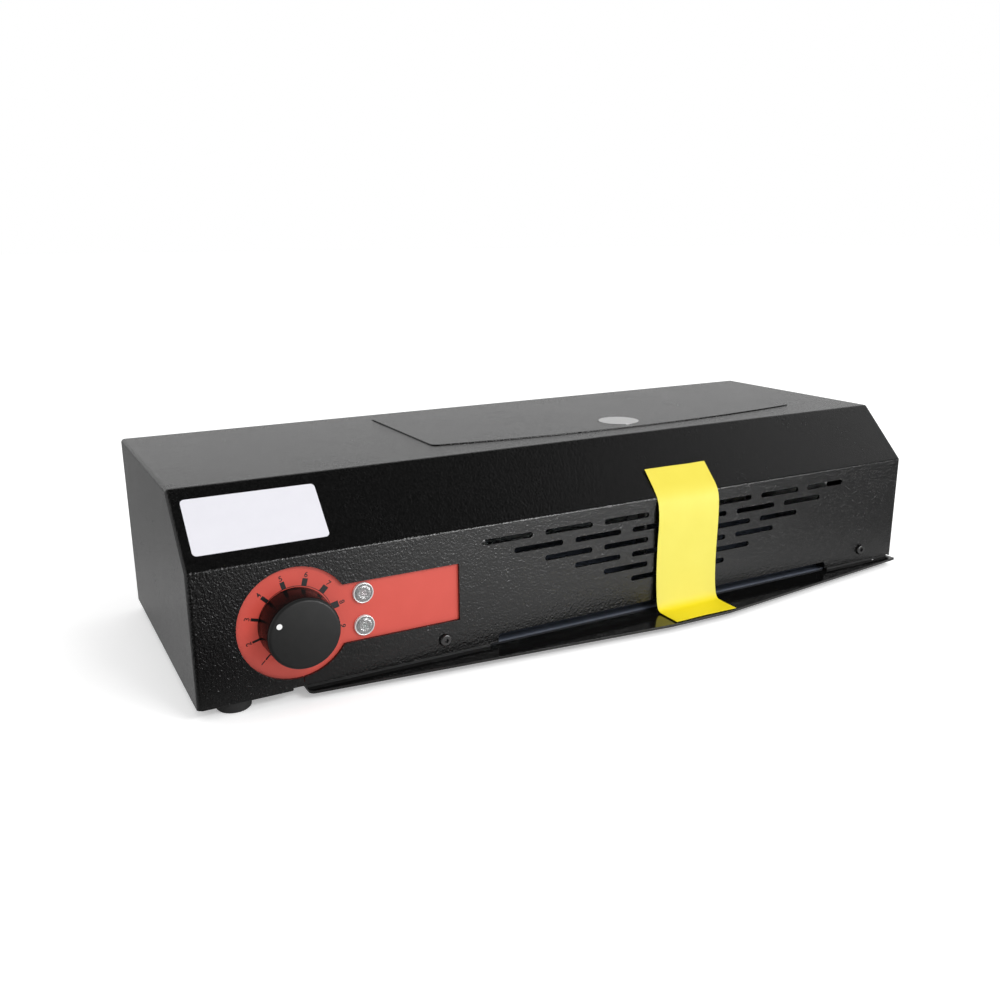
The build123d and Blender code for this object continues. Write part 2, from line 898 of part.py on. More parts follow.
# Label on the slope and the strip taped over the mouth for transport
def make_label():
    rise = slope_run / 2 + label_lift * sqrt(0.5)
    slope = Plane(
        origin=(left + label_inset + label_length / 2, front + rise, top - slope_run + rise),
        x_dir=(1, 0, 0),
        z_dir=(0, -1, 1),
    )
    return extrude(slope * RectangleRounded(label_length, label_width, label_corner), label_thickness)


def make_transport_strip():
    gap = strip_stand_off + strip_thickness / 2
    lift = gap * sqrt(0.5)
    line = FilletPolyline(
        (front + strip_start - lift, top - slope_run + strip_start + lift),
        (front - gap, top - slope_run + gap * tan(radians(22.5))),
        (front - gap - strip_lean, foot_height + strip_toe_rise),
        (front - gap - strip_toe_reach, foot_height + gap),
        (front - tray_reach + strip_stand_off, foot_height + gap),
        radius=strip_bend,
    )
    band = trace(line, line_width=strip_thickness)
    return along_x(band, strip_x - strip_width / 2, strip_x + strip_width / 2)


# Side frames: upright plates that carry the drum, roller and guides
def frame_feet():
    """The (front, back) of each frame's two feet."""
    front_foot = frame_front + frame_foot_front_inset
    rear_foot = frame_rear - frame_foot_rear_inset
    return [(front_foot, front_foot + frame_foot_length), (rear_foot - frame_foot_length, rear_foot)]


def foot_offset():
    """How far out from the frame's inner face the foot's middle lies."""
    return frame_sheet + buffer_radius + buffer_margin


def make_side_frame(inner, side):
    """One frame, its inner face at x = inner, with feet folded outwards."""
    outer = inner + side * frame_sheet
    x0, x1 = sorted((inner, outer))
    slope_top = top - slope_run - sheet
    plan = outline(
        (frame_front, frame_bottom),
        (frame_rear, frame_bottom),
        (frame_rear, frame_top),
        (frame_front + (frame_top - slope_top) + frame_slope_gap, frame_top),
        (frame_front, slope_top - frame_slope_gap),
    )
    plan = fillet(plan.vertices().sort_by(Axis.Y)[-1], frame_corner)
    plate = along_x(plan, x0, x1)
    for y0, y1 in frame_feet():
        foot = sorted((inner, inner + side * 2 * foot_offset()))
        plate += block(*foot, y0, y1, frame_bottom, frame_bottom + frame_sheet)
        middle = inner + side * foot_offset()
        plate -= rod_z(
            screw_radius, frame_bottom - 1, frame_bottom + frame_sheet + 1, middle, (y0 + y1) / 2
        )
    plate -= rod_x(bearing_radius, x0 - 1, x1 + 1, drum_y, drum_z)
    plate -= rod_x(bush_radius, x0 - 1, x1 + 1, drum_y, roller_z)
    return plate


def transport_screw_places():
    """Where the two transport screws pull the frames' back feet down on the pan."""
    y0, y1 = frame_feet()[1]
    return [
        (frame_left - foot_offset(), (y0 + y1) / 2),
        (frame_right + foot_offset(), (y0 + y1) / 2),
    ]


def buffer_places():
    """The middle of each rubber buffer under the frames' feet."""
    return [
        (x, (y0 + y1) / 2)
        for x in (frame_left - foot_offset(), frame_right + foot_offset())
        for y0, y1 in frame_feet()
    ]


def make_frame_buffers():
    buffers = []
    for x, y in buffer_places():
        ring = rod_z(buffer_radius, pan_top, frame_bottom, x, y)
        buffers.append(ring - rod_z(screw_radius, pan_top - 1, frame_bottom + 1, x, y))
    return buffers


def make_transport_screws():
    """Screws from below with a wide slotted head, taken out before use."""
    screws = []
    for x, y in transport_screw_places():
        tip = foot_height - transport_head
        head = rod_z(transport_head_radius, tip, foot_height, x, y)
        reach = transport_head_radius + 1
        head -= block(x - reach, x + reach, y - 0.6, y + 0.6, tip - 1, tip + transport_head / 2)
        shank = rod_z(screw_radius, foot_height, frame_bottom + frame_sheet + buffer_height, x, y)
        screws.append(head + shank)
    return screws


def make_tie_bars():
    """Round bars that hold the frames apart."""
    places = [
        (frame_front + tie_front_inset, frame_top - tie_front_drop),
        (frame_rear - tie_rear_inset, frame_top - tie_rear_drop),
        (frame_rear - tie_rear_inset, nip_z + tie_rear_rise),
    ]
    return [rod_x(tie_radius, frame_left, frame_right, y, z) for y, z in places]


# Drum: a glass tube on two turned hubs, with the large gear outside the right frame
def make_glass_drum():
    end = frame_gap / 2 - side_play - hub_flange
    tube = rod_x(drum_pitch_radius, path_x - end, path_x + end, drum_y, drum_z)
    bore = drum_pitch_radius - glass_wall
    return tube - rod_x(bore, path_x - end - 1, path_x + end + 1, drum_y, drum_z)


def make_hub(side, journal_end):
    """One hub: spigot inside the glass, flange against its end, journal out through the frame."""
    flange_outer = frame_gap / 2 - side_play
    flange_inner = flange_outer - hub_flange
    spigot_end = flange_inner - spigot_length
    profile = [
        (spigot_end, hub_bore_radius),
        (journal_end, hub_bore_radius),
        (journal_end, journal_radius),
        (flange_outer, journal_radius),
        (flange_outer, drum_pitch_radius),
        (flange_inner, drum_pitch_radius),
        (flange_inner, drum_pitch_radius - glass_wall),
        (spigot_end, drum_pitch_radius - glass_wall),
    ]
    return turned_x([(side * x, r) for x, r in profile], path_x, drum_y, drum_z)


def make_drum_bearings():
    """Plain rings in the frames, each with a lip on the outside."""
    rings = []
    half = frame_gap / 2
    profile = [
        (half, journal_radius + running_clearance),
        (half + frame_sheet + bearing_lip, journal_radius + running_clearance),
        (half + frame_sheet + bearing_lip, bearing_radius + bearing_lip_width),
        (half + frame_sheet, bearing_radius + bearing_lip_width),
        (half + frame_sheet, bearing_radius),
        (half, bearing_radius),
    ]
    for side in (-1, 1):
        rings.append(turned_x([(side * x, r) for x, r in profile], path_x, drum_y, drum_z))
    return rings


# Gears with involute flanks
def gear_face(teeth, bore_radius):
    """A spur gear's outline, with the middle of a tooth at angle 0."""
    pitch_radius = gear_module * teeth / 2
    tip = pitch_radius + gear_module
    root = pitch_radius - 1.25 * gear_module
    base = pitch_radius * cos(radians(pressure_angle))

    def involute(radius):
        angle = acos(min(1, base / radius))
        return tan(angle) - angle

    def half_tooth(radius):
        at_pitch = pi / (2 * teeth) - backlash / (2 * pitch_radius)
        return at_pitch + involute(pitch_radius) - involute(max(radius, base))

    flank = [root, max(root, base) + 0.02, pitch_radius, tip]
    points = []
    for k in range(teeth):
        middle = 2 * pi * k / teeth
        for radius in flank:
            angle = middle - half_tooth(radius)
            points.append((radius * cos(angle), radius * sin(angle)))
        for radius in reversed(flank):
            angle = middle + half_tooth(radius)
            points.append((radius * cos(angle), radius * sin(angle)))
    return outline(*points) - Circle(bore_radius)


def meshed_turn(direction, driver_turn, driver_teeth, teeth):
    """The turn that puts a gear's tooth gap where the driver's tooth points."""
    lead = driver_turn - direction
    return direction + 180 - lead * driver_teeth / teeth - 180 / teeth


def make_gear(teeth, bore_radius, turn, y, z):
    face = Rot(0, 0, turn) * gear_face(teeth, bore_radius)
    return Pos(0, y, z) * along_x(face, gear_left, gear_right)


# Rubber roller under the drum
def make_drive_roller():
    end = frame_gap / 2 - side_play - roller_end_gap
    x0, x1 = path_x - end, path_x + end
    sleeve = rod_x(roller_radius, x0, x1, drum_y, roller_z)
    sleeve = chamfer(sleeve.edges().filter_by(GeomType.CIRCLE), roller_chamfer)
    return sleeve - rod_x(roller_shaft_radius, x0 - 1, x1 + 1, drum_y, roller_z)


def make_roller_shaft():
    x0 = frame_left - frame_sheet - shaft_overhang
    return rod_x(roller_shaft_radius, x0, gear_right + side_play, drum_y, roller_z)


def make_roller_bushes():
    bushes = []
    for side in (-1, 1):
        half = frame_gap / 2
        profile = [
            (half - bush_reach, roller_shaft_radius + running_clearance),
            (half + frame_sheet + bush_lip, roller_shaft_radius + running_clearance),
            (half + frame_sheet + bush_lip, bush_radius + bush_lip_width),
            (half + frame_sheet, bush_radius + bush_lip_width),
            (half + frame_sheet, bush_radius),
            (half - bush_reach, bush_radius),
        ]
        bushes.append(turned_x([(side * x, r) for x, r in profile], path_x, drum_y, roller_z))
    return bushes


# Lamp through the drum, held by a bracket on the left and the gear plate on the right
def make_lamp_tube():
    x0, x1 = outboard_left + lamp_end_inset, outboard_right - lamp_end_inset
    return rod_x(lamp_radius, x0, x1, drum_y, drum_z)


def make_lamp_caps():
    """Ceramic caps over the tube's ends, seated in the holes of their holders."""
    caps = []
    for side, seat in ((-1, outboard_left), (1, outboard_right)):
        outer = seat + side * cap_overhang
        inner = outer - side * cap_length
        cap = rod_x(cap_radius, min(outer, inner), max(outer, inner), drum_y, drum_z)
        socket = sorted((inner - side, seat - side * lamp_end_inset))
        caps.append(cap - rod_x(lamp_radius, *socket, drum_y, drum_z))
    return caps


def make_reflector():
    """A bright trough over the lamp that turns its heat down on the paper."""
    arc = CenterArc((drum_y, drum_z), reflector_radius, 15, 150)
    band = trace(arc, line_width=reflector_sheet)
    return along_x(band, outboard_left, outboard_right)


def make_lamp_bracket():
    """A folded bridge over the drum's left bearing."""
    foot_x = frame_left - frame_sheet - sheet / 2
    bridge_x = outboard_left - sheet / 2
    leg = bearing_radius + bridge_margin
    section = folded(
        (foot_x, drum_y - leg - bridge_foot),
        (foot_x, drum_y - leg),
        (bridge_x, drum_y - leg),
        (bridge_x, drum_y + leg),
        (foot_x, drum_y + leg),
        (foot_x, drum_y + leg + bridge_foot),
    )
    bracket = along_z(section, drum_z - bridge_height / 2, drum_z + bridge_height / 2)
    return bracket - rod_x(cap_radius, bridge_x - 2, bridge_x + 2, drum_y, drum_z)


def spacer_places():
    """The (y, z) of the spacers between the right frame and the gear plate."""
    clear = drum_pitch_radius + gear_module + spacer_radius + upper_spacer_gap
    angle = radians(upper_spacer_angle)
    return [
        (plate_front + spacer_inset, frame_top - spacer_rise),
        (plate_front + spacer_inset, plate_bottom + spacer_rise),
        (drum_y + clear * cos(angle), drum_z + clear * sin(angle)),
        (plate_rear - spacer_rear_inset, plate_bottom + spacer_rise),
    ]


def make_gear_plate():
    plan = outline(
        (plate_front, plate_bottom),
        (plate_rear, plate_bottom),
        (plate_rear + plate_bulge, pinion_z),
        (plate_rear, frame_top),
        (plate_front, frame_top),
    )
    plate = along_x(plan, outboard_right, outboard_right + sheet)
    x0, x1 = outboard_right - 1, outboard_right + sheet + 1
    plate -= rod_x(cap_radius, x0, x1, drum_y, drum_z)
    plate -= rod_x(motor_nose_radius, x0, x1, pinion_y, pinion_z)
    for y, z in spacer_places():
        plate -= rod_x(small_screw_radius, x0, x1, y, z)
    return plate


def make_gear_plate_spacers():
    x0, x1 = frame_right + frame_sheet, outboard_right
    spacers = []
    for y, z in spacer_places():
        spacer = rod_x(spacer_radius, x0, x1, y, z)
        spacers.append(spacer - rod_x(small_screw_radius, x1 - spacer_thread, x1 + 1, y, z))
    return spacers


def make_gear_plate_screws():
    screws = []
    face = outboard_right + sheet
    for y, z in spacer_places():
        head = rod_x(small_head_radius, face, face + small_head, y, z)
        screws.append(head + rod_x(small_screw_radius, face - spacer_thread, face, y, z))
    return screws


# Geared motor on the gear plate
def make_drive_motor():
    face = outboard_right + sheet
    gearbox = rod_x(motor_radius, face, face + gearbox_length, pinion_y, pinion_z)
    can_end = face + gearbox_length + motor_length
    can = rod_x(motor_radius - motor_can_step, face + gearbox_length, can_end, pinion_y, pinion_z)
    can = fillet(can.edges().sort_by(Axis.X)[-1], motor_can_corner)
    nose = rod_x(motor_nose_radius, outboard_right - 1, face, pinion_y, pinion_z)
    bore_radius = motor_shaft_radius + running_clearance
    bore_end = face + motor_shaft_reach + side_play
    bore = rod_x(bore_radius, outboard_right - 2, bore_end, pinion_y, pinion_z)
    return gearbox + can + nose - bore


def make_motor_shaft():
    end = outboard_right + sheet + motor_shaft_reach
    return rod_x(motor_shaft_radius, gear_left - side_play, end, pinion_y, pinion_z)


# Paper guides between the frames
def make_entry_guide_lower():
    """The ramp from the tray up to the roller."""
    z = foot_height + thin_sheet / 2
    start = front + guide_inset
    end = (drum_y - lower_guide_gap, nip_z - lower_guide_drop)
    section = folded((start, z), (start + guide_flat, z), end, thickness=thin_sheet)
    return along_x(section, frame_left, frame_right)


def make_entry_guide_upper():
    """The roof of the mouth, folded down behind the front wall."""
    y = front + sheet + thin_sheet / 2
    mouth_top = cover_bottom + slot_rise + upper_guide_rise + thin_sheet / 2
    end = (drum_y - upper_guide_gap, nip_z + upper_guide_lift)
    section = folded((y, mouth_top + upper_guide_flange), (y, mouth_top), end, thickness=thin_sheet)
    return along_x(section, frame_left, frame_right)


def make_exit_guide():
    """The shelf behind the roller that runs out through the back wall."""
    z = exit_z - exit_guide_drop + thin_sheet / 2
    fold = (rear - rear_reach - sheet, z)
    tip = (rear + rear_reach, z - thin_sheet)
    section = folded((drum_y + exit_guide_gap, z), fold, tip, thickness=thin_sheet)
    x0, x1 = path_left + exit_guide_margin, path_right - exit_guide_margin
    shelf = along_x(section, x0, x1)
    y0, y1 = drum_y + exit_tab_gap, frame_rear - exit_tab_inset
    z0, z1 = z - thin_sheet / 2, z + thin_sheet / 2
    return shelf + block(frame_left, x0, y0, y1, z0, z1) + block(x1, frame_right, y0, y1, z0, z1)


# Heat sensor in front of the drum, on a narrow upright strip that stands edge on
def make_sensor_bracket():
    """The strip stands on the upper guide and ends where it meets the guide's slope."""
    x = path_x + sensor_shift
    y = frame_front + sensor_inset
    z = nip_z - sensor_strip_drop
    strip = block(x - sheet / 2, x + sheet / 2, y, y + sensor_strip_width, z, z + sensor_strip_height)
    strip -= make_entry_guide_upper()
    return strip.solids().sort_by(Axis.Z)[-1]


def make_heat_sensor():
    face = path_x + sensor_shift - sheet / 2
    y = frame_front + sensor_inset + sensor_strip_width / 2 + 1
    return rod_x(sensor_radius, face - sensor_depth, face, y, nip_z + sensor_rise)


# Fan on the back wall
def make_fan_frame():
    y0, y1 = rear - sheet - fan_depth, rear - sheet
    frame = Pos(path_x, fan_z) * RectangleRounded(fan_size, fan_size, fan_corner)
    frame = along_y(frame, y0, y1)
    frame -= rod_y(fan_bore_radius, y0 - 1, y1 + 1, path_x, fan_z)
    for x, z in fan_screw_places():
        frame -= rod_y(screw_radius, y0 - 1, y1 + 1, x, z)
    arm_front = y1 - fan_arm_depth
    frame += rod_y(fan_hub_radius, arm_front, y1, path_x, fan_z)
    half = fan_arm_width / 2
    for k in range(4):
        arm = block(0, fan_bore_radius + fan_wall / 3, arm_front, y1, -half, half)
        frame += Pos(path_x, 0, fan_z) * Rot(0, 45 + 90 * k, 0) * arm
    bore_radius = fan_spindle_radius + running_clearance
    bore_end = arm_front + fan_spindle_length
    return frame - rod_y(bore_radius, arm_front - 1, bore_end, path_x, fan_z)


def make_fan_rotor():
    """A cup with pitched blades and a short spindle."""
    y1 = rear - sheet - fan_arm_depth - fan_rotor_gap
    y0 = rear - sheet - fan_depth + 2 * fan_rotor_gap
    hub = rod_y(fan_hub_radius, y0, y1, 0, 0)
    hub = fillet(hub.edges().sort_by(Axis.Y)[0], 1.5)
    rotor = hub + rod_y(fan_spindle_radius, y1, y1 + fan_spindle_length, 0, 0)
    reach = rod_y(fan_bore_radius - fan_tip_gap, y0 + fan_rotor_gap, y1 - fan_rotor_gap, 0, 0)
    half, chord = blade_thickness / 2, blade_chord / 2
    blade = block(fan_hub_radius - 1.5, fan_bore_radius + 1, -half, half, -chord, chord)
    blade = Pos(0, (y0 + y1) / 2, 0) * Rot(blade_pitch, 0, 0) * blade & reach
    for k in range(fan_blades):
        rotor += Rot(0, 360 / fan_blades * k, 0) * blade
    return Pos(path_x, 0, fan_z) * rotor


def make_fan_guard():
    """A pressed finger guard: rings joined by four spokes, with a lug at each corner."""
    plan = Sketch()
    for share in (1, 0.72, 0.44):
        radius = fan_bore_radius * share
        plan += Circle(radius + guard_wire / 2) - Circle(radius - guard_wire / 2)
    plan += Circle(2 * guard_wire)
    half = fan_hole_spacing / 2
    for angle in (45, 135):
        plan += Rot(0, 0, angle) * Rectangle(2 * hypot(half, half), guard_wire)
    for dx in (-half, half):
        for dz in (-half, half):
            plan += Pos(dx, dz) * Circle(guard_lug_radius)
            plan -= Pos(dx, dz) * Circle(screw_radius)
    return along_y(Pos(path_x, fan_z) * plan, rear, rear + guard_sheet)


# Mains inlet on the back wall
def make_power_inlet():
    middle = Pos(inlet_x, fitting_z)
    face = rear + inlet_flange
    flange = RectangleRounded(inlet_flange_length, inlet_flange_height, 4)
    inlet = along_y(middle * flange, rear, face)
    body = Rectangle(inlet_body_length, inlet_body_height)
    inlet += along_y(middle * body, rear - inlet_body_depth, rear)
    cavity = Rectangle(inlet_cavity_length, inlet_cavity_height)
    cavity = along_y(middle * cavity, rear - inlet_cavity_depth, face + 1)
    inlet -= fillet(cavity.edges().filter_by(Axis.Y).sort_by(Axis.Z)[-2:], 4)
    for x in inlet_screw_places():
        inlet -= rod_y(small_screw_radius, rear - 1, face + 1, x, fitting_z)
    return inlet


def inlet_screw_places():
    return [inlet_x + side * inlet_hole_spacing / 2 for side in (-1, 1)]


def make_inlet_pins():
    """Three flat pins in the socket, the middle one set higher."""
    pins = []
    floor = rear - inlet_cavity_depth
    for side, rise in ((-1, -pin_rise), (0, pin_rise), (1, -pin_rise)):
        x, z = inlet_x + side * pin_spacing, fitting_z + rise
        x0, x1 = x - pin_width / 2, x + pin_width / 2
        pins.append(block(x0, x1, floor, floor + pin_length, z - pin_height / 2, z + pin_height / 2))
    return pins


def make_inlet_screws():
    screws = []
    face = rear + inlet_flange
    for x in inlet_screw_places():
        head = rod_y(small_head_radius, face, face + small_head, x, fitting_z)
        screws.append(head + rod_y(small_screw_radius, rear - sheet - 4, face, x, fitting_z))
    return screws


# Power switch on the back wall
def make_switch_housing():
    middle = Pos(switch_x, fitting_z)
    flange = RectangleRounded(switch_flange_length, switch_flange_height, 1.5)
    housing = along_y(middle * flange, rear, rear + switch_flange)
    body = Rectangle(switch_body_length, switch_body_height)
    housing += along_y(middle * body, rear - switch_body_depth, rear)
    half = rocker_width / 2 + rocker_gap
    housing -= rod_x(rocker_radius + rocker_gap, switch_x - half, switch_x + half, rocker_y, fitting_z)
    reach = half + trunnion_reach + 0.2
    bore = trunnion_radius + running_clearance
    return housing - rod_x(bore, switch_x - reach, switch_x + reach, rocker_y, fitting_z)


def make_switch_rocker():
    """A rocker with two flat faces that meet in a shallow valley, on two trunnions."""
    half = rocker_width / 2
    circle = rod_x(rocker_radius, switch_x - half, switch_x + half, 0, 0)
    tip = rocker_reach + 1.4 * rocker_radius * sin(radians(rocker_tilt))
    beyond = rocker_radius + 1
    shape = outline(
        (-3, -3.5), (-3, 3.5), (1, beyond), (tip, beyond), (rocker_reach, 0), (tip, -beyond), (1, -beyond)
    )
    rocker = circle & along_x(shape, switch_x - half, switch_x + half)
    reach = half + trunnion_reach
    rocker += rod_x(trunnion_radius, switch_x - reach, switch_x + reach, 0, 0)
    return Pos(0, rocker_y, fitting_z) * Rot(rocker_tilt, 0, 0) * rocker


# Control board: upright behind the panel, with the potentiometer soldered to it
def make_control_board():
    y0 = panel_back + pot_depth
    y1 = y0 + board_thickness
    x0, x1 = left + control_board_inset, left + panel_right_inset - control_board_margin
    board = block(x0, x1, y0, y1, dial_z - control_board_below, dial_z + control_board_above)
    for x, z in stud_places():
        board -= rod_y(small_screw_radius, y0 - 1, y1 + 1, x, z)
    return board


def stud_places():
    """The (x, z) of the studs on the panel's back."""
    x = left + panel_right_inset - control_board_margin - board_hole_inset
    return [(x, dial_z + side * panel_opening_height * 0.35) for side in (-1, 1)]


def make_studs():
    """Studs from the panel's back through the control board."""
    y0, y1 = panel_back, panel_back + pot_depth
    studs = []
    for x, z in stud_places():
        stud = rod_y(stud_radius, y0, y1, x, z)
        studs.append(stud + rod_y(small_screw_radius, y1, y1 + board_screw_reach, x, z))
    return studs


# Power board: flat over the pan on four standoffs
def standoff_places():
    return [
        (x, y)
        for x in (board_left + board_hole_inset, board_right - board_hole_inset)
        for y in (board_front + board_hole_inset, board_rear - board_hole_inset)
    ]


def make_power_board():
    board = block(board_left, board_right, board_front, board_rear, board_bottom, board_top)
    for x, y in standoff_places():
        board -= rod_z(small_screw_radius, board_bottom - 1, board_top + 1, x, y)
    return board


def make_standoffs():
    standoffs = []
    for x, y in standoff_places():
        post = rod_z(standoff_radius, pan_top, board_bottom, x, y)
        stub = rod_z(small_screw_radius, board_bottom, board_bottom + board_screw_reach, x, y)
        standoffs.append(post + stub)
    return standoffs


def make_transformer():
    """A laminated core round a moulded coil."""
    x, y = board_left + core_inset_x, board_front + core_inset_y
    core = Pos(x, y, board_top + core_height / 2) * Box(core_length, core_width, core_height)
    coil = Pos(x, y, board_top + coil_height / 2) * Box(coil_length, coil_width, coil_height)
    return core + fillet(coil.edges().filter_by(Axis.Z), coil_corner)


def make_heat_sink():
    """A finned block that cools the lamp's switching device."""
    x0 = board_right - sink_inset_x - sink_length
    y0 = board_front + sink_inset_y
    z1 = board_top + sink_height
    sink = block(x0, x0 + sink_length, y0, y0 + sink_base, board_top, z1)
    pitch = (sink_length - fin_width) / (sink_fins - 1)
    for k in range(sink_fins):
        x = x0 + k * pitch
        sink += block(x, x + fin_width, y0 + sink_base, y0 + sink_depth, board_top, z1)
    return sink


def make_capacitors():
    cans = []
    for k in range(2):
        x, y = board_left + capacitor_inset_x + k * capacitor_spacing, board_rear - capacitor_inset_y
        can = rod_z(capacitor_radius, board_top, board_top + capacitor_height, x, y)
        cans.append(fillet(can.edges().sort_by(Axis.Z)[-1], 1))
    return cans


def make_relay():
    x, y = board_right - relay_inset_x, board_rear - relay_inset_y
    return Pos(x, y, board_top + relay_height / 2) * Box(relay_length, relay_width, relay_height)


drum_turn = 0.0
roller_turn = meshed_turn(-90, drum_turn, drum_teeth, roller_teeth)
pinion_turn = meshed_turn(pinion_angle, drum_turn, drum_teeth, pinion_teeth)
upper_lamp, lower_lamp = lamp_places()
left_journal_end = frame_gap / 2 + frame_sheet + bearing_lip + 0.5
right_journal_end = gear_right - path_x

pieces = {
    "cover": make_cover(),
    "base_pan": make_base_pan(),
    "infeed_tray": make_infeed_tray(),
    "small_screws": make_small_screws(),
    "rubber_feet": make_feet(),
    "foot_screws": make_foot_screws(),
    "cover_screws": make_cover_screws(),
    "control_plate": make_control_plate(),
    "lamp_bezels": make_lamp_bezels(),
    "upper_lens": make_lamp_lens(*upper_lamp),
    "lower_lens": make_lamp_lens(*lower_lamp),
    "potentiometer": make_potentiometer(),
    "dial_knob": make_knob(),
    "knob_dot": make_knob_dot(),
    "knob_shaft": make_knob_shaft(),
    "control_board": make_control_board(),
    "board_posts": make_studs() + make_standoffs(),
    "power_board": make_power_board(),
    "board_parts": [make_transformer(), make_heat_sink(), *make_capacitors(), make_relay()],
    "top_lid": make_top_lid(),
    "lid_badge": make_badge(),
    "lid_ledge": make_lid_ledge(),
    "hinge_brackets": make_hinge_brackets(),
    "hinge_pins": make_hinge_pins(),
    "blank_label": make_label(),
    "transport_strip": make_transport_strip(),
    "left_side_frame": make_side_frame(frame_left, -1),
    "right_side_frame": make_side_frame(frame_right, 1),
    "tie_bars": make_tie_bars(),
    "frame_buffers": make_frame_buffers(),
    "transport_screws": make_transport_screws(),
    "glass_drum": make_glass_drum(),
    "left_drum_hub": make_hub(-1, left_journal_end),
    "right_drum_hub": make_hub(1, right_journal_end),
    "drum_gear": make_gear(drum_teeth, journal_radius, drum_turn, drum_y, drum_z),
    "drum_bearings": make_drum_bearings(),
    "drive_roller": make_drive_roller(),
    "roller_shaft": make_roller_shaft(),
    "roller_gear": make_gear(roller_teeth, roller_shaft_radius, roller_turn, drum_y, roller_z),
    "roller_bushes": make_roller_bushes(),
    "lamp_tube": make_lamp_tube(),
    "lamp_caps": make_lamp_caps(),
    "reflector": make_reflector(),
    "lamp_bracket": make_lamp_bracket(),
    "gear_plate": make_gear_plate(),
    "gear_plate_spacers": make_gear_plate_spacers(),
    "drive_motor": make_drive_motor(),
    "motor_shaft": make_motor_shaft(),
    "motor_pinion": make_gear(pinion_teeth, motor_shaft_radius, pinion_turn, pinion_y, pinion_z),
    "entry_guides": [make_entry_guide_lower(), make_entry_guide_upper()],
    "exit_guide": make_exit_guide(),
    "heat_sensor": [make_sensor_bracket(), make_heat_sensor()],
    "fan_frame": make_fan_frame(),
    "fan_rotor": make_fan_rotor(),
    "fan_guard": make_fan_guard(),
    "power_inlet": make_power_inlet(),
    "inlet_pins": make_inlet_pins(),
    "switch_housing": make_switch_housing(),
    "switch_rocker": make_switch_rocker(),
}

os.makedirs("parts", exist_ok=True)
for name, piece in pieces.items():
    solid = Compound(children=piece) if isinstance(piece, list) else piece
    export_step(solid, f"parts/{name}.step")
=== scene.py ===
import bmesh
import bpy
from math import cos, hypot, pi, radians, sin
from mathutils import Matrix, Vector


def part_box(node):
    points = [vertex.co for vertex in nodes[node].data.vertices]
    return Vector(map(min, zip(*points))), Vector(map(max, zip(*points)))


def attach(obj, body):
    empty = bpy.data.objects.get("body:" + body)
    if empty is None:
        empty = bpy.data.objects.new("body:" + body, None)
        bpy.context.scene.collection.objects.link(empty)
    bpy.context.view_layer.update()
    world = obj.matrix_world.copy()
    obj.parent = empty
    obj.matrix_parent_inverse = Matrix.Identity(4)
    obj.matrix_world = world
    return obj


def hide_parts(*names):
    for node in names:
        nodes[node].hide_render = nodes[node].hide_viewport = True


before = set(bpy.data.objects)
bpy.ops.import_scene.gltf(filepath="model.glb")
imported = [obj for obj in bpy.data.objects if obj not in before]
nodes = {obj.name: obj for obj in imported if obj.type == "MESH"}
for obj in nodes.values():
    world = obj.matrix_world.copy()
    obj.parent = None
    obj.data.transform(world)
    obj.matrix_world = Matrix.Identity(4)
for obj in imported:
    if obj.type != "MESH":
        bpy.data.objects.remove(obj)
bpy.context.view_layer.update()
mm = 0.001


# Camera
# A short tele lens stands to the left of the dial's end, a little above the lid, and looks down
# along the front. Its place comes from the machine's own corners in the photograph.
camera_place = Vector((-0.287579, -0.473368, 0.206324))
camera_yaw = radians(28.623)
camera_pitch = radians(15.206)
camera_roll = radians(-0.327)
sensor_width = 36.0
focal_length = 34.82226
nearest_seen = 10 * mm

ahead = Vector((
    sin(camera_yaw) * cos(camera_pitch), cos(camera_yaw) * cos(camera_pitch), -sin(camera_pitch),
))
level = Vector((cos(camera_yaw), -sin(camera_yaw), 0))
upright = level.cross(ahead)
right = cos(camera_roll) * level + sin(camera_roll) * upright
up = cos(camera_roll) * upright - sin(camera_roll) * level
lens = bpy.data.cameras.new("camera")
lens.lens = focal_length
lens.sensor_width = sensor_width
lens.clip_start = nearest_seen
camera = bpy.data.objects.new("camera", lens)
camera.matrix_world = Matrix.Translation(camera_place) @ Matrix((right, up, -ahead)).transposed().to_4x4()
bpy.context.scene.collection.objects.link(camera)
bpy.context.scene.camera = camera
bpy.context.scene.view_settings.view_transform = "Standard"


# Studio
# A white table top in a white room. What the coat mirrors is bright all round, and dark overhead
# and behind the camera, so the top shines grey and the slope stays black. Painted dark reflections
# on the table, seen only by rays the coat mirrors, in front to the left and to the right and beside
# the left end, tone those walls down.
room_light = 0.86
room_glow = 0.76
room_gloom = 0.03
glow_top, glow_end = radians(40), radians(56)
camera_side = (-0.5, -0.1)
gloom_edge = (0.28, 0.36)
subject = Vector((0, 0, 50 * mm))
floor_size = 30.0
floor_grain = 25 * mm
seen_boost, mirrored_boost = 0.34, 0.15
left_mirror_dark_starts, left_mirror_dark_ends = (-0.5, -0.28), (-0.24, 0.01)
right_mirror_dark_starts, right_mirror_dark_share = (0.05, 0.33), 0.8
end_mirror_dark_edge, end_mirror_dark_share = (-0.22, -0.1), 0.36
end_mirror_dark_deepens, end_mirror_dark_gain = (0.0, 0.3), 0.3
mirror_darks_meet = (-0.12, -0.04)


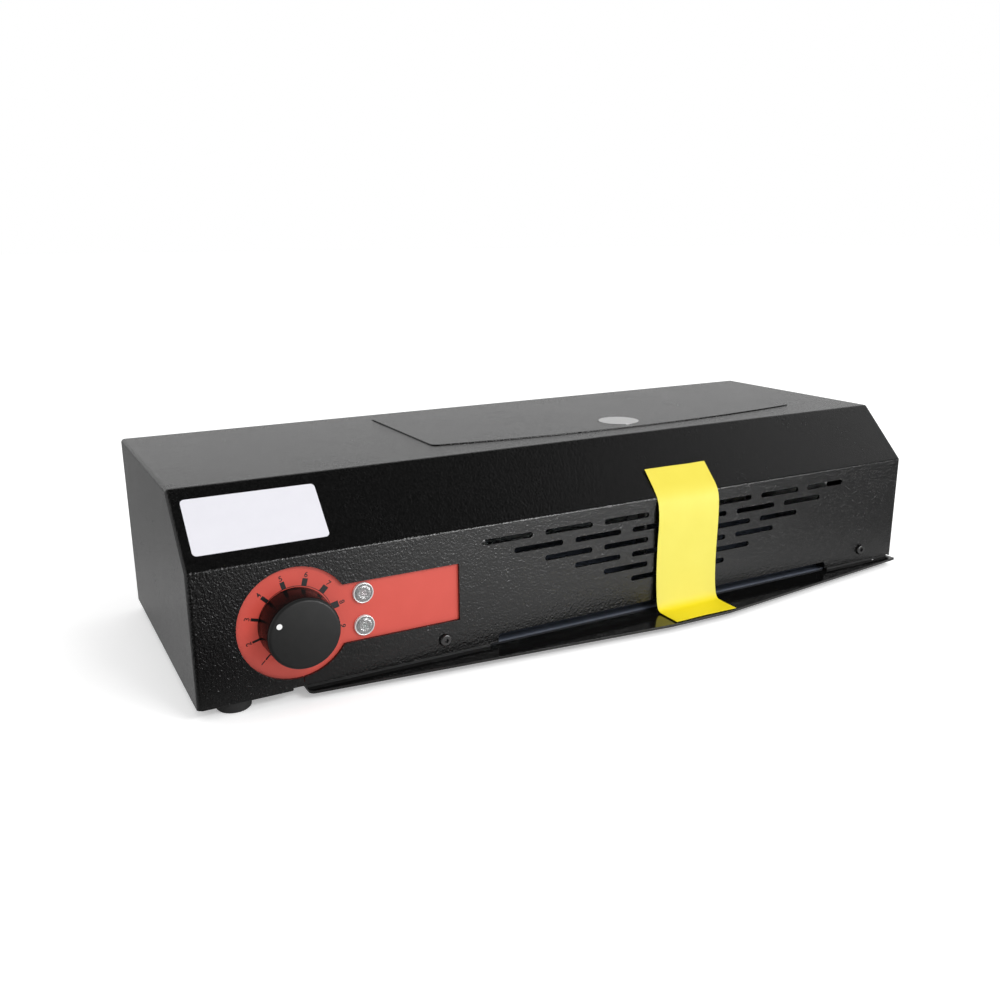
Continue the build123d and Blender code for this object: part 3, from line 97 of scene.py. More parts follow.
class Shade:
    """One output of a shader node. Sums and products of it add Math nodes."""

    def __init__(self, tree, output=None):
        self.tree = tree
        self.output = output

    def node(self, kind, sockets=(), out=0, **settings):
        """Adds a node, sets it up, fills its sockets with values or links and gives one output."""
        made = self.tree.nodes.new("ShaderNode" + kind)
        for name, value in settings.items():
            setattr(made, name, value)
        for key, value in dict(sockets).items():
            if isinstance(value, Shade):
                self.tree.links.new(value.output, made.inputs[key])
            else:
                made.inputs[key].default_value = value
        return Shade(self.tree, made.outputs[out] if len(made.outputs) else None)

    def math(self, operation, *values):
        return self.node("Math", enumerate(values), operation=operation)

    def mix(self, low, high):
        """A colour that goes from low to high as this value goes from 0 to 1."""
        return self.node("Mix", {0: self, 6: low, 7: high}, out=2, data_type="RGBA")

    def step(self, start, end):
        """0 below start, 1 above end, and smooth between."""
        sockets = {0: self, 1: start, 2: end, 3: 0.0, 4: 1.0}
        return self.node("MapRange", sockets, interpolation_type="SMOOTHSTEP")

    def axis(self, name):
        """The X, Y or Z part of this vector."""
        return self.node("SeparateXYZ", {0: self}, out=name)

    def place(self):
        """Where a point lies on its piece."""
        return self.node("TexCoord", out="Object")

    def ray(self, kind):
        """1 for rays of that kind, such as Camera or Glossy, and 0 for others."""
        return self.node("LightPath", out=f"Is {kind} Ray")

    def __add__(self, other):
        return self.math("ADD", self, other)

    def __sub__(self, other):
        return self.math("SUBTRACT", self, other)

    def __rsub__(self, other):
        return self.math("SUBTRACT", other, self)

    def __mul__(self, other):
        return self.math("MULTIPLY", self, other)

    __radd__ = __add__
    __rmul__ = __mul__


def grey(value):
    return (value, value, value, 1)


world = bpy.data.worlds.new("studio")
bpy.context.scene.world = world
world.use_nodes = True
world.node_tree.nodes.clear()
room = Shade(world.node_tree)
direction = room.node("TexCoord", out="Generated")
backwards = direction.axis("Y") * -1
overhead = direction.axis("Z").step(sin(glow_top), sin(glow_end)) * backwards.step(*camera_side)
glow = (1 - overhead) * (1 - backwards.step(*gloom_edge))
shine = glow * (room_glow - room_gloom) + room_gloom
seen, mirrored, through = room.ray("Camera"), room.ray("Glossy"), room.ray("Transmission")
unseen = mirrored * shine + (1 - mirrored) * (through + (1 - through) * room_light)
background = room.node("Background", {"Color": grey(1), "Strength": seen + (1 - seen) * unseen})
room.node("OutputWorld", {0: background})


def add_lamp(name, place, width, depth, power):
    """A soft box of the given size that faces the machine."""
    data = bpy.data.lights.new(name, "AREA")
    data.shape = "RECTANGLE"
    data.size, data.size_y, data.energy = width, depth, power
    lamp = bpy.data.objects.new(name, data)
    bpy.context.scene.collection.objects.link(lamp)
    lamp.location = place
    lamp.rotation_euler = (subject - lamp.location).to_track_quat("-Z", "Y").to_euler()
    return lamp


key = add_lamp("key_box", (0.43, -1.19, 0.98), width=0.7, depth=0.3, power=9.0)
key.visible_glossy = False
front_box = add_lamp("front_box", (0.7, -1.39, 0.2), width=0.75, depth=0.38, power=15.0)
front_box.visible_diffuse = False

bpy.ops.object.select_all(action="DESELECT")
bpy.ops.mesh.primitive_plane_add(size=floor_size, location=(0, 0, 0))
floor = bpy.context.object
floor.name = "floor"
floor_paint = bpy.data.materials.new("white_table")
floor_paint.use_nodes = True
floor_paint.node_tree.nodes.clear()
table = Shade(floor_paint.node_tree)
spot = table.place()
glossy = table.ray("Glossy")
grain = table.node("TexNoise", {"Vector": spot, "Scale": 1 / floor_grain, "Detail": 3.0})
matt = table.node("BsdfDiffuse", {"Color": grain.mix(grey(0.9), grey(0.94))})
boost = table.ray("Camera") * seen_boost + glossy * mirrored_boost
lit = table.node("Emission", {"Color": grey(1), "Strength": boost})
bright = table.node("AddShader", {0: matt, 1: lit})
# Painted reflection: black that the table shows only to mirrored rays, where the masks below put it.
painted_mirror_dark = table.node("Emission", {"Color": grey(0), "Strength": 0.0})
along, depth = spot.axis("X"), spot.axis("Y")
left_mirror_dark = along.step(*left_mirror_dark_starts) - along.step(*left_mirror_dark_ends)
in_front = left_mirror_dark + along.step(*right_mirror_dark_starts) * right_mirror_dark_share
beside = end_mirror_dark_share + depth.step(*end_mirror_dark_deepens) * end_mirror_dark_gain
beside = beside * (1 - along.step(*end_mirror_dark_edge))
beyond = depth.step(*mirror_darks_meet)
mirror_darkened = glossy * ((1 - beyond) * in_front + beyond * beside)
table.node("OutputMaterial", {0: table.node("MixShader", {0: mirror_darkened, 1: bright, 2: painted_mirror_dark})})
floor.data.materials.append(floor_paint)


# Cover
# One sheet of 1.5 mm steel, folded, with a coarse structured black powder coat. The coat is
# baked on thick, so it rounds every cut edge and its surface has small worm-like ridges.
coat_build = 0.35 * mm
skin_depth = 0.7 * mm
merge_distance = 0.002 * mm
flat_angle, cut_angle = radians(0.5), radians(60)
cover_low, cover_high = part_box("cover")


def finish(name, colour, roughness=0.5, metallic=0.0, bump=None, bump_depth=0.1 * mm, **sockets):
    """A material whose main values are numbers or sockets made by a function of its Shade."""
    material = bpy.data.materials.new(name)
    material.use_nodes = True
    material.node_tree.nodes.clear()
    shade = Shade(material.node_tree)
    values = {"Base Color": colour, "Roughness": roughness, "Metallic": metallic}
    values = {key: value(shade) if callable(value) else value for key, value in values.items()}
    values.update({key.replace("_", " "): value for key, value in sockets.items()})
    if bump:
        ridges = {"Height": bump(shade), "Distance": bump_depth, "Strength": 1.0}
        values["Normal"] = shade.node("Bump", ridges)
    shade.node("OutputMaterial", {0: shade.node("BsdfPrincipled", values)})
    return material


def spots(shade, size, detail=2.0, distortion=0.0, stretch=(1, 1, 1)):
    """Soft cloudy noise whose blots are about size across, from 0 to 1."""
    place = shade.node("Mapping", {0: shade.place(), 3: stretch})
    sockets = {"Vector": place, "Scale": 1 / size, "Detail": detail, "Distortion": distortion}
    return shade.node("TexNoise", sockets)


def cells(shade, size, smooth=0.6):
    """The distance from the middle of rounded cells of about that size."""
    sockets = {"Vector": shade.place(), "Scale": 1 / size, "Smoothness": smooth}
    return shade.node("TexVoronoi", sockets, feature="SMOOTH_F1")


def blotch(size, low, high, edge=None, **kind):
    """For a colour: soft blots of that size, between two greys or two colours."""
    low, high = (grey(tone) if isinstance(tone, float) else (*tone, 1) for tone in (low, high))

    def colour(shade):
        cloud = spots(shade, size, **kind)
        return (cloud.step(*edge) if edge else cloud).mix(low, high)

    return colour


def select_only(piece):
    bpy.ops.object.select_all(action="DESELECT")
    piece.select_set(True)
    bpy.context.view_layer.objects.active = piece


def edit(piece):
    """Opens a mesh for editing with nothing selected."""
    select_only(piece)
    bpy.ops.object.mode_set(mode="EDIT")
    bpy.ops.mesh.select_all(action="DESELECT")


def close_edit():
    bpy.ops.object.mode_set(mode="OBJECT")


def pick(piece, faces=None, edges=None, verts=None):
    """Selects what passes its test, which is given the piece's faces, edges or vertices."""
    mesh = bmesh.from_edit_mesh(piece.data)
    bpy.ops.mesh.select_all(action="DESELECT")
    kinds = ("FACE", mesh.faces, faces), ("EDGE", mesh.edges, edges), ("VERT", mesh.verts, verts)
    for mode, items, test in kinds:
        if test:
            bpy.ops.mesh.select_mode(type=mode)
            for item in items:
                item.select_set(bool(test(item)))
    mesh.select_flush_mode()
    bmesh.update_edit_mesh(piece.data)


def keep_place():
    """Puts the selected piece's place, turn and size in its mesh."""
    bpy.ops.object.transform_apply(location=True, rotation=True, scale=True)


def settle(piece, material, body="chassis", stands_for=(), angle=35):
    """Puts the place in the mesh, smooths it, and gives it its material, in a mesh material slot, and its
    body.
    """
    select_only(piece)
    keep_place()
    bpy.ops.object.shade_smooth_by_angle(angle=radians(angle))
    piece.data.materials.clear()
    piece.data.materials.append(material)
    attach(piece, body)
    if stands_for:
        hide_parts(*stands_for)


def use_modifier(piece, kind, **settings):
    """Adds a modifier, sets it up and applies it."""
    select_only(piece)
    modifier = piece.modifiers.new(kind.lower(), kind)
    for key, value in settings.items():
        setattr(modifier, key, value)
    bpy.ops.object.modifier_apply(modifier=modifier.name)


def coat_edges(node, name, width, chosen, material, body="chassis"):
    """Stands for a CAD node with a copy of it whose chosen cut edges are rounded by the paint."""
    piece = bpy.data.objects.new(name, nodes[node].data.copy())
    bpy.context.scene.collection.objects.link(piece)
    edit(piece)
    bpy.ops.mesh.customdata_custom_splitnormals_clear()
    bpy.ops.mesh.select_all(action="SELECT")
    bpy.ops.mesh.remove_doubles(threshold=merge_distance)
    bpy.ops.mesh.dissolve_limited(angle_limit=flat_angle)
    pick(piece, edges=lambda e: e.calc_face_angle(0) > cut_angle and all(chosen(v.co) for v in e.verts))
    bpy.ops.mesh.bevel(offset=width, segments=3, affect="EDGES", clamp_overlap=True)
    close_edit()
    settle(piece, material, body, (node,))
    use_modifier(piece, "WEIGHTED_NORMAL", keep_sharp=True)


def coat_ridges(shade):
    ridges = spots(shade, 0.8 * mm, detail=2.0, distortion=0.6, stretch=(1, 1, 0.65))
    return ridges + cells(shade, 1.1 * mm) * 0.45


def on_cover_skin(place):
    """True on the sheet's outer face, its rounded corners among it, and false on its inner face."""
    inwards = min(
        place.x - cover_low.x, cover_high.x - place.x, place.y - cover_low.y, cover_high.y - place.y,
        cover_high.z - place.z,
    )
    return inwards < skin_depth


cover_coat = finish(
    "structured_black_coat",
    colour=blotch(1.4 * mm, 0.0012, 0.0035, edge=(0.3, 0.7)),
    roughness=lambda s: 0.18 + spots(s, 30 * mm) * 0.05 + spots(s, 1.8 * mm) * 0.09,
    bump=coat_ridges,
    bump_depth=0.2 * mm,
)
coat_edges("cover", "folded_cover", coat_build, on_cover_skin, cover_coat)


# Base pan, feet and their screws
# The pan is folded from the same sheet with a thinner satin coat. Four moulded rubber feet stand
# under it, each with a zinc plated screw up its middle.
def vary(least, size, spread, **kind):
    """For a roughness: the least value, and up to spread more in soft blots of that size."""
    return lambda shade: least + spots(shade, size, **kind) * spread


def relief(size, **kind):
    """For a bump: soft blots of that size."""
    return lambda shade: spots(shade, size, **kind)


def dress(material, *names):
    """Gives CAD nodes a material."""
    for name in names:
        for holder in nodes[name].material_slots:
            holder.material = material


pan_coat = finish(
    "satin_black_coat",
    colour=blotch(4 * mm, 0.008, 0.014),
    roughness=vary(0.38, 20 * mm, 0.12),
    bump=relief(0.9 * mm),
    bump_depth=0.06 * mm,
)
foot_rubber = finish(
    "black_rubber",
    colour=blotch(3 * mm, 0.01, 0.022),
    roughness=vary(0.62, 5 * mm, 0.2),
    bump=relief(0.6 * mm),
    bump_depth=0.05 * mm,
)
zinc = finish(
    "zinc_plate",
    colour=blotch(6 * mm, 0.42, 0.6, detail=4),
    roughness=vary(0.28, 2.5 * mm, 0.2, detail=3),
    metallic=1.0,
    bump=relief(0.5 * mm),
    bump_depth=0.01 * mm,
)
dress(pan_coat, "base_pan")
dress(foot_rubber, "rubber_feet", "frame_buffers")
dress(zinc, "foot_screws", "small_screws", "transport_screws")


# Infeed tray
# A flat steel plate with a smooth gloss enamel, screwed under the pan. It mirrors the mouth and
# the strip above it.
tray_gloss = finish(
    "gloss_black_enamel",
    colour=blotch(9 * mm, 0.004, 0.007),
    roughness=vary(0.07, 12 * mm, 0.08, detail=4),
    bump=relief(3 * mm),
    bump_depth=0.02 * mm,
)
coat_edges("infeed_tray", "tray_plate", coat_build, lambda place: True, tray_gloss)


# Paper guides
# Bent from thin sheet, one above and one below the sheets at the mouth and one at the exit. Their
# blue-grey paint is rubbed a little where the sheets slide.
guide_paint = finish(
    "blue_grey_paint",
    colour=blotch(8 * mm, (0.06, 0.073, 0.1), (0.1, 0.115, 0.15), detail=4, stretch=(1, 0.2, 1)),
    roughness=vary(0.3, 5 * mm, 0.2, detail=4),
    bump=relief(1.2 * mm),
    bump_depth=0.02 * mm,
)
dress(guide_paint, "entry_guides", "exit_guide")


# Control panel
# A flat plate behind the keyhole opening, printed in a satin red. Ticks that grow with the heat,
# the numbers 1 to 9 and a thin ring round the knob are screen printed on it in black.
panel_red = finish(
    "red_print",
    colour=blotch(12 * mm, (0.62, 0.074, 0.052), (0.67, 0.088, 0.064), detail=3),
    roughness=vary(0.42, 3 * mm, 0.1),
    bump=relief(0.8 * mm),
    bump_depth=0.01 * mm,
    Specular_IOR_Level=0.35,
)
dress(panel_red, "control_plate")

black_ink = finish(
    "black_ink",
    colour=blotch(0.8 * mm, 0.006, 0.016),
    roughness=vary(0.45, 1 * mm, 0.2),
)
knob_low, knob_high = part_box("dial_knob")
dial = (knob_low + knob_high) / 2
plate_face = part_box("control_plate")[0].y
print_right, print_down = 0.6 * mm, 0.1 * mm
print_centre = Vector((dial.x + print_right, plate_face, dial.z - print_down))
ink_depth = 0.04 * mm
first_mark, mark_step, mark_count = -135, -30, 9
mark_angles = [radians(first_mark + k * mark_step) for k in range(mark_count)]
tick_start, tick_end = 17.5 * mm, 21.1 * mm
tick_width, tick_growth = 0.7 * mm, 0.36 * mm
number_radius = 22.7 * mm
number_size, number_swell = 3.51 * mm, 0.05 * mm
ring_radius, ring_width = 17.5 * mm, 0.28 * mm


def add(operator, name, **settings):
    """Adds a primitive with nothing else selected, and names it."""
    bpy.ops.object.select_all(action="DESELECT")
    operator(**settings)
    piece = bpy.context.object
    piece.name = piece.data.name = name
    return piece


def join(pieces, name):
    """Makes one object of several meshes."""
    select_only(pieces[0])
    for piece in pieces:
        piece.select_set(True)
    bpy.ops.object.join()
    pieces[0].name = pieces[0].data.name = name
    return pieces[0]


def on_dial(angle, radius):
    """The point of the plate's face at that angle, counted from the right and upwards, and radius."""
    return print_centre + Vector((radius * cos(angle), -ink_depth / 2, radius * sin(angle)))


ticks = []
for k, angle in enumerate(mark_angles):
    middle = on_dial(angle, (tick_start + tick_end) / 2)
    tick = add(bpy.ops.mesh.primitive_cube_add, "tick", size=1, location=middle)
    tick.scale = (tick_end - tick_start, ink_depth, tick_width + k * tick_growth)
    tick.rotation_euler = (0, -angle, 0)
    keep_place()
    ticks.append(tick)
settle(join(ticks, "dial_ticks"), black_ink)

numbers = []
for k, angle in enumerate(mark_angles):
    number = add(bpy.ops.object.text_add, "number", location=(0, 0, 0))
    number.data.body = str(k + 1)
    number.data.align_x, number.data.align_y = "CENTER", "CENTER"
    number.data.size = number_size
    number.data.extrude = ink_depth / 2
    number.data.offset = number_swell
    number.rotation_euler = (pi / 2, 0, 0)
    bpy.ops.object.convert(target="MESH")
    keep_place()
    number.rotation_euler = (0, pi / 2 - angle, 0)
    number.location = on_dial(angle, number_radius)
    keep_place()
    numbers.append(number)
settle(join(numbers, "dial_numbers"), black_ink)

ring = add(
    bpy.ops.mesh.primitive_torus_add, "dial_ring", location=print_centre, rotation=(pi / 2, 0, 0),
    major_radius=ring_radius, minor_radius=ring_width / 2, major_segments=128, minor_segments=8,
)
ring.scale = (1, 1, 2 * ink_depth / ring_width)
settle(ring, black_ink)


# Knob
# Moulded black plastic with a satin face, a rounded rim and a glossy skirt. A white dot is
# pressed into the face as its pointer, and the knob grips the control's shaft.
knob_plastic = finish(
    "satin_black_plastic",
    colour=blotch(4 * mm, 0.009, 0.014),
    roughness=vary(0.36, 1.5 * mm, 0.14, detail=3),
    bump=relief(0.35 * mm),
    bump_depth=0.008 * mm,
    Specular_IOR_Level=0.35,
)
skirt_plastic = finish(
    "glossy_black_plastic",
    colour=blotch(4 * mm, 0.004, 0.007),
    roughness=vary(0.18, 3 * mm, 0.08, detail=3),
    bump=relief(1.5 * mm),
    bump_depth=0.006 * mm,
    Specular_IOR_Level=0.04,
)
dot_white = finish(
    "white_plastic",
    colour=blotch(1 * mm, 0.8, 0.86),
    roughness=vary(0.35, 0.6 * mm, 0.1),
)
hair = 0.01 * mm
knob_radius = (knob_high.x - knob_low.x) / 2
knob_taper = (knob_radius - 0.6 * mm) / knob_radius
knob_rim, knob_heel = 1.5 * mm, 0.25 * mm
knob_wall, knob_pocket = 2.0 * mm, 7.0 * mm
skirt_tilt = -0.25
dot_proud, dot_rim = 0.15 * mm, 0.12 * mm


def faces_front(face):
    return face.normal.y < -0.9


def faces_back(face):
    return face.normal.y > 0.9


def in_front_of(y):
    """A test for edges that lie wholly in front of that place."""
    return lambda edge: all(v.co.y < y for v in edge.verts)


def behind(y):
    """A test for edges that lie wholly behind that place."""
    return lambda edge: all(v.co.y > y for v in edge.verts)


def extrude(*shift):
    bpy.ops.mesh.extrude_region_move(TRANSFORM_OT_translate={"value": shift})


knob = add(
    bpy.ops.mesh.primitive_cylinder_add, "knob", vertices=160, radius=knob_radius,
    depth=knob_high.y - knob_low.y, location=dial, rotation=(pi / 2, 0, 0),
)
keep_place()
edit(knob)
pick(knob, faces=faces_front)
bpy.ops.transform.resize(value=(knob_taper, 1, knob_taper))
pick(knob, faces=faces_back)
bpy.ops.mesh.inset(thickness=knob_wall)
extrude(0, -knob_pocket, 0)
pick(knob, edges=in_front_of(knob_low.y + hair))
bpy.ops.mesh.bevel(offset=knob_rim, segments=6, profile=0.5, affect="EDGES")
pick(knob, edges=behind(knob_high.y - hair))
bpy.ops.mesh.bevel(offset=knob_heel, segments=2, affect="EDGES")
close_edit()
settle(knob, knob_plastic, "knob", ("dial_knob",), angle=40)
knob.data.materials.append(skirt_plastic)
for polygon in knob.data.polygons:
    outwards = hypot(polygon.center.x - dial.x, polygon.center.z - dial.z)
    on_skirt = polygon.normal.y > skirt_tilt and outwards > knob_radius - knob_wall
    polygon.material_index = 1 if on_skirt else 0

dot_low, dot_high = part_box("knob_dot")
dot = add(
    bpy.ops.mesh.primitive_cylinder_add, "pointer_dot", vertices=48, radius=(dot_high.x - dot_low.x) / 2,
    depth=dot_high.y - dot_low.y, location=(dot_low + dot_high) / 2 - Vector((0, dot_proud, 0)),
    rotation=(pi / 2, 0, 0),
)
keep_place()
edit(dot)
pick(dot, edges=in_front_of(dot_low.y - hair))
bpy.ops.mesh.bevel(offset=dot_rim, segments=3, affect="EDGES")
close_edit()
settle(dot, dot_white, "knob", ("knob_dot",))

turned_steel = finish(
    "turned_steel",
    colour=blotch(1.2 * mm, 0.5, 0.64, stretch=(8, 1, 1)),
    roughness=vary(0.18, 1.5 * mm, 0.14, detail=3),
    metallic=1.0,
)
plated_steel = finish(
    "plated_steel",
    colour=blotch(5 * mm, 0.4, 0.54, detail=4),
    roughness=vary(0.3, 2 * mm, 0.18, detail=3),
    metallic=1.0,
)
dress(turned_steel, "knob_shaft")
dress(plated_steel, "potentiometer")


# Indicator lamps
# Each is a thin polished ring with a cut crystal of moulded acrylic pressed into it. The upper
# crystal has a faint pink tint in its middle and the lower one a faint green tint.
bezel_chrome = finish(
    "bezel_chrome",
    colour=blotch(2 * mm, 0.78, 0.88),
    roughness=vary(0.3, 1 * mm, 0.1, detail=3),
    metallic=0.35,
)
bezel_low, bezel_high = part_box("lamp_bezels")
bezel_radius = (bezel_high.x - bezel_low.x) / 2
bezel_reach = plate_face - bezel_low.y
ring_wall, ring_round = 0.6 * mm, 0.3 * mm
ring_pocket = bezel_reach * 0.8
barrel_wall = 0.4 * mm
crystal_depth = 0.6 * mm
crystal_sides = 16
facet_rows = ((0.82, 0.55 * mm), (0.76, 0.25 * mm), (0.65, -0.2 * mm))
pink_tint, green_tint = (0.34, 0.1, 0.15, 1), (0.12, 0.26, 0.2, 1)
tint_from, tint_to = 1.0 * mm, 4.0 * mm


def crystal_finish(name, tint, middle):
    """Bright facets, tinted near the middle of the lamp."""
    def colour(shade):
        place = shade.node("Mapping", {0: shade.place(), 1: -middle}, vector_type="POINT")
        across = shade.node("VectorMath", {0: place}, out="Value", operation="LENGTH")
        uneven = across - spots(shade, 1 * mm) * 0.8 * mm
        return uneven.step(tint_from, tint_to).mix(tint, grey(0.3))

    return finish(
        name,
        colour=colour,
        roughness=vary(0.1, 0.6 * mm, 0.12, detail=3),
        metallic=0.3,
        bump=lambda s: cells(s, 0.8 * mm, smooth=0.1),
        bump_depth=0.2 * mm,
        Coat_Weight=1.0,
        Coat_Roughness=0.03,
    )


def make_lamp(lens, tint):
    """The ring, with its barrel through the panel, and the crystal that stands for the lens."""
    lens_low, lens_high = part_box(lens)
    lens_radius = (lens_high.x - lens_low.x) / 2
    centre = (lens_low + lens_high) / 2
    ring = add(
        bpy.ops.mesh.primitive_cylinder_add, lens + "_ring", vertices=72, radius=bezel_radius,
        depth=bezel_reach, location=(centre.x, plate_face - bezel_reach / 2, centre.z),
        rotation=(pi / 2, 0, 0),
    )
    keep_place()
    edit(ring)
    pick(ring, faces=faces_front)
    bpy.ops.mesh.inset(thickness=ring_wall)
    extrude(0, ring_pocket, 0)
    pick(ring, edges=in_front_of(plate_face - bezel_reach + hair))
    bpy.ops.mesh.bevel(offset=ring_round, segments=4, affect="EDGES")
    pick(ring, faces=lambda f: faces_back(f) and f.calc_center_median().y > plate_face - hair)
    bpy.ops.mesh.inset(thickness=bezel_radius - lens_radius - barrel_wall)
    extrude(0, bezel_high.y - plate_face, 0)
    close_edit()

    seat = plate_face - bezel_reach + ring_pocket
    crystal = add(
        bpy.ops.mesh.primitive_cylinder_add, lens + "_crystal", vertices=crystal_sides,
        radius=bezel_radius - ring_wall, depth=crystal_depth,
        location=(centre.x, seat - crystal_depth / 2, centre.z), rotation=(pi / 2, 0, 0),
    )
    keep_place()
    edit(crystal)
    pick(crystal, faces=faces_front)
    for shrink, rise in facet_rows:
        extrude(0, -rise, 0)
        bpy.ops.transform.resize(value=(shrink, 1, shrink))
        bpy.ops.transform.rotate(value=pi / crystal_sides, orient_axis="Y", center_override=centre)
    close_edit()
    bpy.ops.object.shade_flat()
    crystal.data.materials.append(crystal_finish(lens + "_crystal", tint, centre))
    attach(crystal, "chassis")
    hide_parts(lens)
    return ring


rings = [make_lamp("upper_lens", pink_tint), make_lamp("lower_lens", green_tint)]
settle(join(rings, "bezel_rings"), bezel_chrome, "chassis", ("lamp_bezels",))


# Cover screws
# Blackened button-head steel screws with a hexagon socket. They hold the cover to the pan in
# front and at the back, and the fan to the back wall.
black_steel = finish(
    "black_oxide",
    colour=blotch(1 * mm, 0.05, 0.1),
    roughness=vary(0.2, 0.8 * mm, 0.12, detail=3),
    metallic=0.9,
)
dress(black_steel, "cover_screws")


# Lid, badge, ledge and hinges
# The lid is a thin plate with the cover's coat that lies on the cover. A round foil badge sits in
# the lid, and the ledge and hinge brackets under it are zinc plated.
lid_coat_build = 0.25 * mm
lid_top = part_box("top_lid")[1].z


def on_lid_top(place):
    return place.z > lid_top - hair


coat_edges("top_lid", "lid_plate", lid_coat_build, on_lid_top, cover_coat, "lid")
badge_foil = finish(
    "badge_foil",
    colour=blotch(0.5 * mm, 0.55, 0.68, stretch=(0.05, 1, 1)),
    roughness=vary(0.3, 2 * mm, 0.12),
    metallic=0.9,
)
dress(badge_foil, "lid_badge")
dress(zinc, "lid_ledge", "hinge_brackets")
dress(turned_steel, "hinge_pins")


# Label on the slope
# A white film label with rounded corners, left bare. Its glue holds it a hair above the coarse
# coat, and the film is not quite flat.
label_film = finish(
    "white_film",
    colour=blotch(7 * mm, (0.72, 0.715, 0.765), (0.76, 0.755, 0.805), detail=4),
    roughness=vary(0.36, 3 * mm, 0.12),
    bump=relief(5 * mm, detail=1),
    bump_depth=0.06 * mm,
)
dress(label_film, "blank_label")


# Transport strip
# A yellow film strip stuck to the slope, hanging loose over the front and stuck to the tray. It
# arches over the bend and never lies quite flat.
strip_low, strip_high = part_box("transport_strip")
strip_width = strip_high.x - strip_low.x
strip_line = [
    (y * mm, z * mm) for y, z in (
        (-59.4, 83.1), (-66.0, 76.4), (-70.3, 72.0), (-72.7, 68.2), (-73.7, 63.0), (-73.9, 55.0),
        (-73.4, 44.0), (-73.1, 33.0), (-73.3, 22.0), (-74.2, 12.5), (-75.2, 7.8), (-77.0, 5.9),
        (-80.0, 5.7), (-92.4, 5.7),
    )
]
strip_start = 0.1 * mm
strip_cuts = 9
strip_thickness = 0.2 * mm
wave_size, wave_height = 22 * mm, 0.7 * mm
stuck_to_hanging = (5 * mm, 12 * mm)
hanging_to_sloping = (66 * mm, 76 * mm)


def strip_colour(shade):
    """Its own yellow where it is stuck to the black tray, a paler copy as painted sheen where it hangs
    free, and a darker copy of that as painted shade on the slope.
    """
    height = shade.place().axis("Z")
    cloud = spots(shade, 14 * mm, detail=3)
    # Painted sheen and shade: the sloping and hanging colours are paler copies of the yellow, and the
    # sloping one is darkened again.
    sloping_sheen_and_shade = cloud.mix((0.77, 0.65, 0.068, 1), (0.81, 0.7, 0.085, 1))
    hanging_sheen = cloud.mix((0.8, 0.71, 0.1, 1), (0.85, 0.77, 0.13, 1))
    stuck = cloud.mix((0.84, 0.69, 0.006, 1), (0.88, 0.73, 0.012, 1))
    lower = height.step(*stuck_to_hanging).mix(stuck, hanging_sheen)
    return height.step(*hanging_to_sloping).mix(lower, sloping_sheen_and_shade)


strip_film = finish(
    "yellow_film",
    colour=strip_colour,
    roughness=vary(0.5, 6 * mm, 0.12),
    bump=relief(5 * mm),
    bump_depth=0.1 * mm,
    Specular_IOR_Level=0.3,
)
first_y, first_z = strip_line[0]
film = add(
    bpy.ops.mesh.primitive_plane_add, "yellow_strip", size=1,
    location=((strip_low.x + strip_high.x) / 2, first_y, first_z),
)
film.scale = (strip_width, strip_start, 1)
keep_place()
edit(film)
pick(film, verts=lambda v: v.co.y < first_y)
for (y0, z0), (y1, z1) in zip(strip_line, strip_line[1:]):
    extrude(0, y1 - y0, z1 - z0)
pick(film, edges=lambda e: abs(e.verts[0].co.x - e.verts[1].co.x) > strip_width / 2)
bpy.ops.mesh.subdivide(number_cuts=strip_cuts)
bpy.ops.mesh.select_all(action="SELECT")
bpy.ops.mesh.normals_make_consistent(inside=False)
close_edit()
use_modifier(film, "SUBSURF", levels=3, render_levels=3, boundary_smooth="PRESERVE_CORNERS")
waves = bpy.data.textures.new("film_waves", "CLOUDS")
waves.noise_scale = wave_size
waves.noise_depth = 1
use_modifier(
    film, "DISPLACE", texture=waves, texture_coords="LOCAL", strength=wave_height, mid_level=0.5,
    direction="NORMAL",
)
use_modifier(film, "SOLIDIFY", thickness=strip_thickness, offset=0)
settle(film, strip_film, "chassis", ("transport_strip",))


# Drive frame
# Two zinc plated side frames on rubber buffers, with turned bars between them, and a plate
# outside the gears that carries the motor.
dress(zinc, "left_side_frame", "right_side_frame", "gear_plate", "gear_plate_spacers", "lamp_bracket")
dress(turned_steel, "tie_bars", "roller_shaft", "motor_shaft")


# Glass drum
# A ground and polished glass tube on turned aluminium hubs. The hubs run in black plastic rings,
# and one of them carries the moulded nylon gear.
clear_glass = finish(
    "clear_glass",
    colour=blotch(20 * mm, (0.9, 0.95, 0.94), (0.96, 0.98, 0.98)),
    roughness=vary(0.03, 9 * mm, 0.05, detail=3),
    Transmission_Weight=0.9,
    IOR=1.5,
)
turned_aluminium = finish(
    "turned_aluminium",
    colour=blotch(0.8 * mm, 0.6, 0.72, stretch=(9, 1, 1)),
    roughness=vary(0.22, 2 * mm, 0.14, detail=3),
    metallic=1.0,
)
bearing_plastic = finish(
    "bearing_plastic",
    colour=blotch(3 * mm, 0.018, 0.03),
    roughness=vary(0.4, 1 * mm, 0.15),
)
gear_nylon = finish(
    "natural_nylon",
    colour=blotch(5 * mm, (0.66, 0.62, 0.5), (0.76, 0.72, 0.62), detail=3),
    roughness=vary(0.36, 1.5 * mm, 0.14),
    bump=relief(0.7 * mm),
    bump_depth=0.01 * mm,
    Subsurface_Weight=0.1,
    Subsurface_Scale=2 * mm,
)
dress(clear_glass, "glass_drum", "lamp_tube")
dress(turned_aluminium, "left_drum_hub", "right_drum_hub")
dress(bearing_plastic, "drum_bearings", "roller_bushes")
dress(gear_nylon, "drum_gear", "roller_gear", "motor_pinion")


